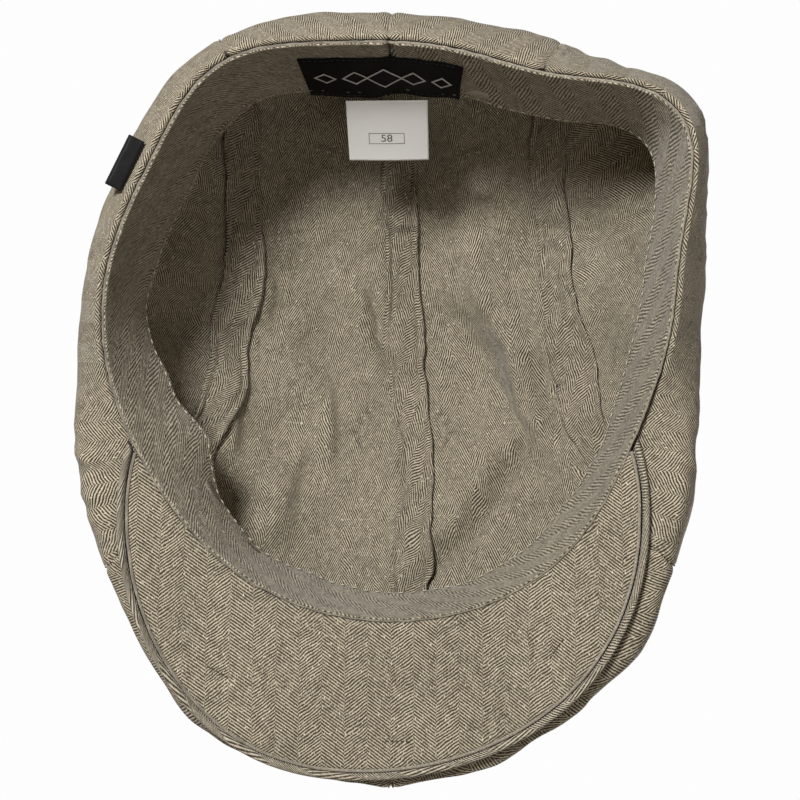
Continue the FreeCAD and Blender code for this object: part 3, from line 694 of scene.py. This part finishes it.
tape_cloth = woven_cloth("tape cloth", (0.44, 0.38, 0.285), DARK_TAUPE, 5.2, 1.6, 1.6, turn=24.0)
tape_thread = thread_finish("tape thread", (0.3, 0.262, 0.2))
SIDE_ENDS = (0.06, 0.86)
tapes = [("centre_seam_tape", centre_seam, (0.02, 0.93), 160, 0.255, "crown_top_left"),
         ("side_seam_tape_left", lambda share: side_seam(1.0, share), SIDE_ENDS, 110, 0.154,
          "crown_side_left"),
         ("side_seam_tape_right", lambda share: side_seam(-1.0, share), SIDE_ENDS, 110, 0.151,
          "crown_side_right")]
for name, route, ends, rows, cut_length, under in tapes:
    tape = lay_cloth(name + "_cloth", (20, rows), lambda s, t: tape_place(route, ends, s, t), 0.6)
    tape.data.flip_normals()
    tape.data.materials.append(tape_cloth)
    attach(tape, "cap")
    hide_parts(name)
    for edge, off in (("one", -1.0), ("other", 1.0)):
        for face in ("inside", "outside"):
            def line(share):
                if face == "inside":
                    return tape_place(route, ends, 0.5 + off * (0.5 - TAPE_HEM / TAPE_WIDTH), share)
                share = ends[0] + (ends[1] - ends[0]) * share
                at = beside(route, share, off * (TAPE_WIDTH / 2.0 - TAPE_HEM))
                return under_crown(at.x, at.y, -0.05)
            row = stitch_row("%s_stitches_%s_%s" % (name, face, edge),
                             spots_along(line, TAPE_STITCH_PITCH), tape_thread)

# ------------------------------------------------------------------------- sweatband
# A bias-cut strip of the cloth round the opening.  Its upper edge is folded over and
# stitched; its lower edge is turned into the rim seam.  The ends meet at the back.
BAND_WIDTH, BAND_LEAN = 31.0, 6.5
HEM, HEM_TURN, HEM_STITCH_IN, HEM_STITCH_OUT = 5.0, 0.55, 2.0, 0.42


def band_point(angle, share, inward=0.0):
    """Place on the sweatband: share 0 at the rim, 1 at the free edge."""
    lean = BAND_LEAN * (1.0 - 0.25 * frontward(angle)) + 9.0 * bump(angle, 64.0, 20.0)
    rise = math.sqrt(BAND_WIDTH ** 2 - lean ** 2)
    at = on_plan(angle, rim_radius(angle) - lean * share - inward)
    at.z = rim_height(angle) + rise * share
    return at


# Creases down the band: place round the cap, width in degrees and height inwards.
BAND_FOLDS = [(76.0, 6.0, 1.8), (62.0, 4.0, -1.6), (95.0, 5.0, 1.2), (112.0, 4.0, -1.0),
              (-76.0, 5.0, 1.3), (-98.0, 6.0, -1.1), (-128.0, 4.0, 1.2), (-150.0, 6.0, -1.0),
              (34.0, 5.0, 1.0), (-30.0, 6.0, 0.9)]


def band_sway(angle, share):
    """How far the soft band waves in and out of its even form."""
    turn = math.radians(angle)
    wave = 1.4 * noise.noise(Vector((math.sin(turn), math.cos(turn), 0.4)) * 3.1)
    wave += 0.9 * noise.noise(Vector((math.sin(turn), math.cos(turn), share * 0.3)) * 8.0)
    wave = swollen(wave, angle + 14.0 * share, BAND_FOLDS)
    pucker = 0.16 * noise.noise(Vector((math.sin(turn), math.cos(turn), 0.0)) * 34.0)
    return wave * share * 0.9 + pucker * (1.0 - share)


def band_place(across, along):
    """Place on the band's cloth, which goes up its face and over into the hem."""
    angle = -179.8 + 359.6 * across
    length = (BAND_WIDTH + math.pi * HEM_TURN + HEM) * along
    share, inward, up = min(1.0, length / BAND_WIDTH), 0.0, 0.0
    if length > BAND_WIDTH:
        turn = min(math.pi, (length - BAND_WIDTH) / HEM_TURN)
        inward = -HEM_TURN * (1.0 - math.cos(turn))
        up = HEM_TURN * math.sin(turn)
        share = 1.0 - max(0.0, length - BAND_WIDTH - math.pi * HEM_TURN) / BAND_WIDTH
    from_edge = (1.0 - share) * BAND_WIDTH
    dimple = 0.0
    if length <= BAND_WIDTH:
        dimple = 0.22 * math.exp(-((from_edge - HEM_STITCH_IN) / 0.5) ** 2)
    at = band_point(angle, share, inward + band_sway(angle, share) - dimple)
    return at + Vector((0.0, 0.0, up))


band_cloth = woven_cloth("sweatband cloth", (0.5, 0.44, 0.335), (0.055, 0.045, 0.03), 6.4, 1.9, 1.4,
                         turn=20.0, contrast=0.9)
band = lay_cloth("sweatband_cloth", (420, 44), band_place, 0.5, seams=(1, 1, 0, 0), groove=-0.7)
band.data.flip_normals()
band.data.materials.append(band_cloth)
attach(band, "cap")
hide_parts("sweatband")

band_thread = thread_finish("band thread", (0.5, 0.45, 0.36))


def hem_line(along):
    """Line of the hem's stitches, just inside the band's free edge."""
    angle, share = -178.0 + 356.0 * along, 1.0 - HEM_STITCH_IN / BAND_WIDTH
    return band_point(angle, share, HEM_STITCH_OUT + band_sway(angle, share))


hem_row = stitch_row("sweatband_hem_stitches", spots_along(hem_line, 2.9), band_thread,
                     size=(2.1, 0.42, 0.36))

# ---------------------------------------------------------------------- interlining
# A strip of stiffened cotton between the sweatband and the crown, a little narrower
# than the band.  It is sewn in with the rim seam and isn't seen on the finished cap.


def interlining_place(across, along):
    """Place on the strip, which lies a little outside the band."""
    return band_point(-179.5 + 359.0 * across, 0.08 + 0.82 * along, -1.5)


interlining = lay_cloth("interlining_strip", (240, 6), interlining_place, 0.5)
stiff_cotton = woven_cloth("stiff cotton", (0.5, 0.46, 0.4), (0.38, 0.35, 0.3), 1.2, 0.8, 0.2)
interlining.data.materials.append(stiff_cotton)
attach(interlining, "cap")
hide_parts("sweatband_interlining")

# ----------------------------------------------------------------------- rim seam edge
# The turned edges of band and crown meet in the rim seam and stand as a fine light rib
# all round the opening.


def rib(name, line, radius, turns):
    """A round rib along a line of places: a strip laid round it, joined along its edges."""
    def place(across, along):
        ahead = (line(along + 0.5 / turns) - line(along - 0.5 / turns)).normalized()
        out = ahead.cross(Vector((0.0, 0.0, 1.0))).normalized()
        turn = 2.0 * math.pi * across
        return line(along) + (out * math.cos(turn) + out.cross(ahead) * math.sin(turn)) * radius(along)

    piece = lay_cloth(name, (10, turns), place, 0.0)
    mesh = bmesh.new()
    mesh.from_mesh(piece.data)
    bmesh.ops.remove_doubles(mesh, verts=mesh.verts, dist=0.01 * MM)
    bmesh.ops.holes_fill(mesh, edges=[edge for edge in mesh.edges if edge.is_boundary], sides=10)
    bmesh.ops.recalc_face_normals(mesh, faces=mesh.faces)
    mesh.to_mesh(piece.data)
    mesh.free()
    return piece


def rim_line(share):
    """The rib's line, just outside the opening and a little wavy."""
    angle = -180.0 + 360.0 * share
    turn = math.radians(angle)
    wave = 0.3 * noise.noise(Vector((math.sin(turn), math.cos(turn), 3.0)) * 26.0)
    at = on_plan(angle, rim_radius(angle, 0.75 + wave))
    at.z = rim_height(angle) + 0.35
    return at


def rim_size(share):
    """The rib's radius, uneven where the cloth is thick, and less in front."""
    angle = -180.0 + 360.0 * share
    slub = 0.12 * noise.noise(Vector((angle / 1.6, 0.0, 8.0)))
    return 0.46 + slub - 0.1 * ease((frontward(angle) - 0.3) / 0.2)


edge_cloth = woven_cloth("turned edge cloth", (0.5, 0.45, 0.36), (0.2, 0.17, 0.13), 3.0, 0.6, 1.2,
                         turn=30.0, contrast=0.6)
rim_rib = rib("rim_seam_edge", rim_line, rim_size, 420)
rim_rib.data.materials.append(edge_cloth)
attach(rim_rib, "cap")

# ------------------------------------------------------------------- visor under cover
# The facing of the visor's underside: one piece of the cloth laid smooth over the board,
# between the rim seam and the rolled edge, with a light turned edge against the roll.
EDGE_ROLL, RIM_JOIN, FACING_GAP = 2.7, 1.2, 0.3
# Bar tacks through the visor: turn about the visor, distance in from its edge, and lie.
TACKS = [("centre", -8.0, 11.5, 0.0), ("left", 45.0, 13.8, 30.0), ("right", -53.0, 14.5, -55.0)]
TACK_LENGTH = 8.0


def halve(low, high, low_holds, times):
    """Closes in on the value between two at which a test stops holding."""
    for _ in range(times):
        middle = (low + high) / 2.0
        if low_holds(middle):
            low = middle
        else:
            high = middle
    return low, high


def visor_reach(angle, inset=0.0):
    """Distance from the origin to the visor's outline in one direction."""
    def short(turn):
        at = visor_point(turn, inset)
        return math.degrees(math.atan2(at.x, -at.y)) < angle

    return visor_point(sum(halve(-175.0, 175.0, short, 24)) / 2.0, inset).length


def horn(side, inset, outward):
    """Angle at which the visor's outline meets the rim on one side."""
    return halve(40.0 * side, 95.0 * side,
                 lambda angle: visor_reach(angle, inset) > rim_radius(angle, outward), 40)[0]


def under_visor(x, y, level):
    """Place at a level above the visor's underside, with the slight waves of its cloth."""
    wave = (0.35 * noise.noise(Vector((x / 30.0, y / 30.0, 1.0)))
            + 0.12 * noise.noise(Vector((x / 9.0, y / 9.0, 4.0))))
    return Vector((x, y, visor_height(x, y) + level + wave))


def lying(degrees):
    """Direction of a line that lies at an angle on the plan."""
    return Vector((math.cos(math.radians(degrees)), math.sin(math.radians(degrees)), 0.0))


SPAN = [horn(side, EDGE_ROLL + 0.8, RIM_JOIN) for side in (-1.0, 1.0)]


def under_cover_place(across, along):
    """Place on the facing, tucked up at its edges and drawn in at the bar tacks."""
    angle = SPAN[0] + (SPAN[1] - SPAN[0]) * across
    near, far = rim_radius(angle, RIM_JOIN), visor_reach(angle, EDGE_ROLL + FACING_GAP)
    radius = near + max(0.05, far - near) * along
    at = on_plan(angle, radius)
    edge = min(radius - near, far - radius)
    tuck = 0.75 * math.exp(-(edge / 0.9) ** 2)
    for _, turn, inset, lie in TACKS:
        off = at - visor_point(turn, inset)
        run = lying(lie)
        past = max(0.0, abs(off.dot(run)) - TACK_LENGTH / 2.0)
        tuck += 0.6 * math.exp(-((off - run * off.dot(run)).length / 1.3) ** 2 - (past / 1.5) ** 2)
    return under_visor(at.x, at.y, tuck)


visor_tweed = woven_cloth("visor tweed", (0.47, 0.408, 0.302), (0.042, 0.034, 0.022), 7.2, 1.05, 0.72,
                          contrast=1.15)
under_cover = lay_cloth("visor_facing", (150, 60), under_cover_place, 0.7)
if under_cover.data.polygons[0].normal.z > 0.0:
    under_cover.data.flip_normals()
plan_weave = under_cover.data.uv_layers["weave"].data
for loop in under_cover.data.loops:
    plan_weave[loop.index].uv = under_cover.data.vertices[loop.vertex_index].co.xy
under_cover.data.materials.append(visor_tweed)
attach(under_cover, "cap")
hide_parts("visor_under_cover")


def seam_edge_line(share):
    """The facing's turned edge, against the roll."""
    angle = SPAN[0] + (SPAN[1] - SPAN[0]) * share
    wave = 0.2 * noise.noise(Vector((angle / 4.0, 1.0, 1.0)))
    at = on_plan(angle, visor_reach(angle, EDGE_ROLL + 0.55 + wave))
    return under_visor(at.x, at.y, 0.1)


seam_edge = rib("visor_seam_edge", seam_edge_line, lambda share: 0.5, 300)
seam_edge.data.materials.append(edge_cloth)
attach(seam_edge, "cap")

# --------------------------------------------------------------------- visor top cover
# The visor's upper cloth lies on the board, goes round its edge as a soft roll and is
# turned in on the underside against the facing.
CAUGHT_IN = 2.0
ROLL_SPAN = [horn(side, 0.0, CAUGHT_IN) for side in (-1.0, 1.0)]
# Distance out from the visor's outline and level above its underside, round the roll.
ROLL_PROFILE = [(-30.0, 3.2), (-12.0, 3.25), (-4.0, 3.2), (-1.9, 3.15), (-0.9, 2.8), (-0.2, 2.1),
                (0.0, 1.4), (-0.15, 0.5), (-0.6, -0.2), (-1.2, -0.5), (-1.8, -0.45), (-2.3, -0.05),
                (-2.7, 0.9)]


def roll_place(across, along):
    """Place on the top cover: along from the rim over the top and round the edge."""
    angle = ROLL_SPAN[0] + (ROLL_SPAN[1] - ROLL_SPAN[0]) * across
    spot = along * (len(ROLL_PROFILE) - 1)
    k = min(int(spot), len(ROLL_PROFILE) - 2)
    (out_a, level_a), (out_b, level_b) = ROLL_PROFILE[k], ROLL_PROFILE[k + 1]
    out = out_a + (out_b - out_a) * (spot - k)
    level = level_a + (level_b - level_a) * (spot - k)
    reach = visor_reach(angle)
    radius = max(reach + out, min(rim_radius(angle, CAUGHT_IN), reach - 0.02 * (1.0 - along)))
    at = on_plan(angle, radius)
    ripple = 0.14 * noise.noise(Vector((angle / 2.2, level, 0.0))) * ease((0.5 - level) / 3.0 + 0.9)
    return under_visor(at.x, at.y, level - ripple)


roll_tweed = woven_cloth("visor roll tweed", (0.5, 0.44, 0.34), (0.04, 0.032, 0.022), 9.0, 1.2, 0.9,
                         turn=52.0)
top_cover = lay_cloth("visor_cover", (240, 48), roll_place, 0.0)
top_cover.data.materials.append(roll_tweed)
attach(top_cover, "cap")
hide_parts("visor_top_cover")

# ------------------------------------------------------------------------- visor board
# A pressed plastic board between both covers.  It is cut from sheet and hidden.
board_plastic = mottled_finish("visor board plastic", 0.45, 60.0, (0.55, 0.53, 0.47),
                               (0.64, 0.62, 0.56))
board = frame["nodes"]["visor_board"]
board.data.materials.clear()
board.data.materials.append(board_plastic)

# --------------------------------------------------------------------------- bar tacks
# Three short rows of thread that hold the crown's front down to the visor, pulled well
# into the facing.
TACK_STITCHES, TACK_LEVEL = 5, 0.48
tack_thread = thread_finish("tack thread", (0.05, 0.04, 0.028))
rows = []
for name, turn, inset, lie in TACKS:
    centre = visor_point(turn, inset)
    run = lying(lie)
    spots = []
    for k in range(TACK_STITCHES + 1):
        at = centre + run * TACK_LENGTH * (k / TACK_STITCHES - 0.5)
        spots.append(under_visor(at.x, at.y, TACK_LEVEL))
    row = stitch_row("bar_tack_" + name, spots, tack_thread, size=(1.3, 0.6, 0.45))
    rows.append(row)
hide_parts("visor_tacks")

# ------------------------------------------------------------------------ woven label
# A black damask label with a woven row of five plain diamonds, stitched along both long
# edges to the sweatband at the centre back.
WOVEN_ANGLE, WOVEN_WIDTH, WOVEN_HEIGHT, WOVEN_TOP = 178.3, 49.0, 24.5, 1.04
WOVEN_TURN = math.degrees(WOVEN_WIDTH / 2.0 / (OPENING - BAND_LEAN))
WOVEN_LOW = WOVEN_TOP - WOVEN_HEIGHT / BAND_WIDTH
WOVEN_STITCH_IN, STITCH_PROUD, MOTIF_PROUD = 1.3, 0.7, 0.72


def label_place(across, along, proud=0.6):
    """Place on the label's face: across from side to side, along from the rim upwards."""
    angle = WOVEN_ANGLE + WOVEN_TURN * (2.0 * across - 1.0)
    share = WOVEN_LOW + (WOVEN_TOP - WOVEN_LOW) * along
    edge = min(along, 1.0 - along) * WOVEN_HEIGHT
    wave = 0.18 * math.sin(across * 19.0) * math.exp(-edge / 3.0)
    dip = 0.18 * math.exp(-((edge - WOVEN_STITCH_IN) / 0.5) ** 2)
    return band_point(angle, share, proud - dip + wave + band_sway(angle, min(1.0, share)))


def cross_ribs():
    """Node group: the fine cross ribs of ribbon, with painted shade between them and the ribbon's own
    colour upon them.
    """
    group, given, out = new_effect("cross ribs", ("Scale",), ("Dark", "Light"), ("Colour", "Height"))
    nodes, links = group.nodes, group.links
    uv, ribs, both = (nodes.new("ShaderNode" + kind) for kind in ("UVMap", "TexWave", "Mix"))
    uv.uv_map = "weave"
    ribs.bands_direction = "Y"
    set_inputs(ribs, {"Distortion": 0.6, "Detail Scale": 4.0})
    both.data_type = "RGBA"
    links.new(uv.outputs[0], ribs.inputs["Vector"])
    links.new(given.outputs["Scale"], ribs.inputs["Scale"])
    links.new(ribs.outputs["Fac"], both.inputs[0])
    links.new(given.outputs["Dark"], both.inputs[6])
    links.new(given.outputs["Light"], both.inputs[7])
    links.new(both.outputs[2], out.inputs["Colour"])
    links.new(ribs.outputs["Fac"], out.inputs["Height"])
    return group


CROSS_RIBS = cross_ribs()


def ribbon_finish(name, colour, rib_pitch, sheen, roughness=0.65):
    """Close-woven ribbon with fine cross ribs and painted shade between them."""
    ribbon, nodes, links, shader = new_finish(name, Roughness=roughness, Specular_IOR_Level=0.08,
                                              Sheen_Weight=sheen)
    ribs = nodes.new("ShaderNodeGroup")
    ribs.node_tree = CROSS_RIBS
    # Dark is the ribbon's colour darkened as painted shade for the hollows between the ribs.
    set_inputs(ribs, {"Scale": 0.314 / (rib_pitch * MM), "Light": (*colour, 1.0),
                      "Dark": (*[0.8 * c for c in colour], 1.0)})
    bumps = nodes.new("ShaderNodeBump")
    set_inputs(bumps, {"Strength": 0.6, "Distance": 0.05 * MM})
    links.new(ribs.outputs["Colour"], shader.inputs["Base Color"])
    links.new(ribs.outputs["Height"], bumps.inputs["Height"])
    links.new(bumps.outputs[0], shader.inputs["Normal"])
    return ribbon


black_ribbon = ribbon_finish("black damask", (0.004, 0.004, 0.0045), 0.4, 0.0)
woven_label = lay_cloth("woven_label_ribbon", (70, 36), label_place, 0.4)
woven_label.data.flip_normals()
woven_label.data.materials.append(black_ribbon)
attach(woven_label, "cap")
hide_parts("woven_label")

label_thread = thread_finish("label thread", (0.03, 0.03, 0.032))
for name, along in (("low", WOVEN_STITCH_IN / WOVEN_HEIGHT),
                    ("high", 1.0 - WOVEN_STITCH_IN / WOVEN_HEIGHT)):
    spots = spots_along(lambda t: label_place(0.02 + 0.96 * t, along, STITCH_PROUD), 1.7)
    row = stitch_row("woven_label_stitches_" + name, spots, label_thread, size=(1.25, 0.3, 0.26))



def open_frame(mesh, corners, width):
    """Leaves only a frame of a face, as wide as asked."""
    face = list({f for vert in corners for f in vert.link_faces})
    bmesh.ops.inset_individual(mesh, faces=face, thickness=width)
    bmesh.ops.delete(mesh, geom=face, context="FACES_ONLY")


DIAMOND_PITCH = 9.2
silver_thread = thread_finish("silver thread", (0.5, 0.5, 0.49))
motif = bmesh.new()
for k, size in ((-2, 3.4), (-1, 4.2), (0, 6.0), (1, 4.2), (2, 3.4)):
    open_frame(motif, bmesh.ops.create_circle(
        motif, segments=4, radius=size, cap_ends=True,
        matrix=Matrix.Translation((k * DIAMOND_PITCH, 0.0, 0.0)))["verts"], 0.8)
bmesh.ops.subdivide_edges(motif, edges=motif.edges, cuts=2, use_grid_fill=True)
for vert in motif.verts:
    across, along = 0.5 + vert.co.x / WOVEN_WIDTH, 0.5 + vert.co.y / WOVEN_HEIGHT
    vert.co = label_place(across, along, MOTIF_PROUD) * MM
diamonds = finish_cloth("woven_label_border", motif, 0.08)
diamonds.data.materials.append(silver_thread)
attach(diamonds, "cap")

# ------------------------------------------------------------------------- size label
# White satin ribbon, cut to length and sewn by its upper edge behind the woven label's
# edge, so that it turns about that edge.  The head girth is printed on it in a frame.
hinge = Vector(frame["record"]["behaviour"]["joints"][0]["pos_m"]) / MM
SIZE_WIDTH, SIZE_LENGTH, SIZE_LEAN = 27.0, 24.0, 45.0
lie = Matrix.Rotation(math.radians(90.0 + SIZE_LEAN), 3, "X")


def size_place(across, along, proud=0.0):
    """Place on the size label, which curls a little across and along."""
    x, y = (across - 0.5) * SIZE_WIDTH, along * SIZE_LENGTH
    curl = 0.35 * along * math.sin(across * math.pi) + 0.25 * math.sin(along * 5.0) * along
    return hinge + lie @ Vector((x, y, proud + curl))


white_satin = ribbon_finish("white satin", (0.8, 0.79, 0.765), 0.3, 0.15, roughness=0.4)
size_label = lay_cloth("size_label_ribbon", (40, 36), size_place, 0.2)
size_label.data.materials.append(white_satin)
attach(size_label, "label")
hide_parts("size_label")

ink = mottled_finish("printing ink", 0.7, 2500.0, (0.03, 0.03, 0.032), (0.12, 0.12, 0.12))
PRINT_CENTRE, PRINT_FRAME, PRINT_PROUD = (0.5, 14.8), (12.0, 4.4), 0.24
letters = bpy.data.curves.new("girth number", "FONT")
letters.body = "58"
letters.size = 4.1
letters.align_x, letters.align_y = "CENTER", "CENTER"
number = stand_in_scene("girth number", letters)
bpy.context.view_layer.update()
printed = bmesh.new()
printed.from_mesh(bpy.data.meshes.new_from_object(number))
bpy.data.objects.remove(number)
outline = bmesh.ops.create_grid(printed, x_segments=1, y_segments=1, size=1.0)["verts"]
for vert in outline:
    vert.co = Vector((vert.co.x * PRINT_FRAME[0] / 2.0, vert.co.y * PRINT_FRAME[1] / 2.0, 0.0))
open_frame(printed, outline, 0.28)
bmesh.ops.triangulate(printed, faces=printed.faces)
bmesh.ops.subdivide_edges(printed, edges=[e for e in printed.edges if e.calc_length() > 1.5], cuts=3)
for vert in printed.verts:
    across = 0.5 + (PRINT_CENTRE[0] - vert.co.x) / SIZE_WIDTH
    along = (PRINT_CENTRE[1] - vert.co.y) / SIZE_LENGTH
    vert.co = size_place(across, along, PRINT_PROUD) * MM
girth = finish_cloth("size_label_print", printed, 0.0)
girth.data.materials.append(ink)
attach(girth, "label")

# --------------------------------------------------------------------------- side tab
# A black ribbon folded over on itself and caught in the rim seam on the left side.
TAB_ANGLE, TAB_WIDTH, TAB_REACH, TAB_ROLL, TAB_GAP = 123.5, 17.0, 6.6, 1.3, 1.25
TAB_TURN = math.degrees(TAB_WIDTH / 2.0 / rim_radius(TAB_ANGLE))
tab_ends = [on_plan(a, rim_radius(a, RIM_LAYERS)) for a in (TAB_ANGLE - TAB_TURN, TAB_ANGLE + TAB_TURN)]
TAB_ALONG = (tab_ends[1] - tab_ends[0]).normalized()
TAB_OUT = Vector((TAB_ALONG.y, -TAB_ALONG.x, 0.0))


def tab_place(across, along):
    """Place on the folded ribbon: across round the loop, along its width."""
    off = (along - 0.5) * TAB_WIDTH
    turn = (across - 0.5) * 1.35 * math.pi
    tail = max(0.0, abs(across - 0.5) - 0.37) / 0.13
    pinch = 1.0 - 0.28 * abs(2.0 * along - 1.0) ** 6
    out = TAB_REACH - TAB_ROLL + TAB_ROLL * math.cos(turn) - tail * (TAB_REACH - 2.4 * TAB_ROLL)
    up = TAB_ROLL * math.sin(turn) * pinch * (1.0 - 0.6 * tail)
    up += 0.12 * noise.noise(Vector((off / 3.0, out / 3.0, 0.0)))
    root = on_plan(TAB_ANGLE, rim_radius(TAB_ANGLE, RIM_LAYERS))
    return root + TAB_OUT * (TAB_GAP + out) + TAB_ALONG * off + Vector((0.0, 0.0, 0.1 + TAB_ROLL + up))


tab_ribbon = ribbon_finish("tab ribbon", (0.009, 0.009, 0.0095), 0.5, 0.1, roughness=0.42)
tab = lay_cloth("side_tab_ribbon", (40, 24), tab_place, 0.5)
tab.data.materials.append(tab_ribbon)
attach(tab, "cap")
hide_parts("side_tab")

# ----------------------------------------------------------------------------- studio
# A pale floor under the cap that is clear when looked at from below, soft lamps, and a
# camera that looks up into the opening.
floor_mesh = bmesh.new()
bmesh.ops.create_circle(floor_mesh, cap_ends=True, segments=96, radius=14.0,
                        matrix=Matrix.Translation((0.0, 0.0, cad_box[0].z)))
floor = finish_cloth("floor", floor_mesh, 0.0)
pale, nodes, links, shader = new_finish("pale floor", Roughness=0.9, Base_Color=(0.86, 0.86, 0.85, 1.0))
clear, either = nodes.new("ShaderNodeBsdfTransparent"), nodes.new("ShaderNodeMixShader")
side_seen = nodes.new("ShaderNodeNewGeometry")
links.new(side_seen.outputs["Backfacing"], either.inputs[0])
links.new(shader.outputs[0], either.inputs[1])
links.new(clear.outputs[0], either.inputs[2])
links.new(either.outputs[0], nodes["Material Output"].inputs["Surface"])
floor.data.materials.append(pale)
floor.visible_shadow = False
floor.visible_diffuse = False
floor.visible_glossy = False

world = bpy.data.worlds.new("studio")
world.use_nodes = True
bpy.context.scene.world = world
nodes, links = world.node_tree.nodes, world.node_tree.links
backdrop, dome = nodes["Background"], nodes.new("ShaderNodeBackground")
backdrop.inputs["Color"].default_value = (0.985, 0.985, 0.985, 1.0)
dome.inputs["Color"].default_value = (1.0, 0.87, 0.69, 1.0)
dome.inputs["Strength"].default_value = 0.2
seen, both = nodes.new("ShaderNodeLightPath"), nodes.new("ShaderNodeMixShader")
links.new(seen.outputs["Is Camera Ray"], both.inputs[0])
links.new(dome.outputs[0], both.inputs[1])
links.new(backdrop.outputs[0], both.inputs[2])
links.new(both.outputs[0], nodes["World Output"].inputs["Surface"])


def lamp(name, place, target, size, power):
    """A square soft lamp aimed at a place; sizes in metres."""
    light = bpy.data.lights.new(name, "AREA")
    light.size = size
    light.energy = power
    holder = stand_in_scene(name, light)
    holder.location = place
    holder.rotation_mode = "QUATERNION"
    holder.rotation_quaternion = (Vector(target) - Vector(place)).to_track_quat("-Z", "Y")


OPENING_MIDDLE = (0.0, -0.02, 0.03)
lamp("key from below left", (0.24, 0.42, -0.78), OPENING_MIDDLE, 0.2, 12.6)
lamp("fill from below right", (-0.3, -0.45, -0.7), OPENING_MIDDLE, 0.6, 1.2)
lamp("key from above", (-0.45, -0.6, 0.8), (0.0, 0.0, 0.03), 0.6, 6.0)
sky = stand_in_scene("even light from above", bpy.data.lights.new("even light from above", "SUN"))
sky.data.energy = 2.6
sky.data.angle = math.radians(40.0)
sky.rotation_euler = (math.radians(18.0), math.radians(-14.0), 0.0)

camera = stand_in_scene("camera", bpy.data.cameras.new("camera"))
CAMERA_BACK, CAMERA_TILT, PICTURE_WIDTH = 450.0, 2.5, 246.0
aim = Vector((math.sin(math.radians(CAMERA_TILT)), 0.0, math.cos(math.radians(CAMERA_TILT))))
camera.location = (Vector((-3.4, -20.0, 0.0)) - aim * CAMERA_BACK) * MM
right = aim.cross(Vector((0.0, 1.0, 0.0)))
camera.rotation_euler = Matrix((right, right.cross(aim), -aim)).transposed().to_euler()
camera.data.lens = camera.data.sensor_width * CAMERA_BACK / PICTURE_WIDTH
camera.data.clip_start = 0.01
bpy.context.scene.camera = camera
bpy.context.scene.view_settings.view_transform = "Standard"
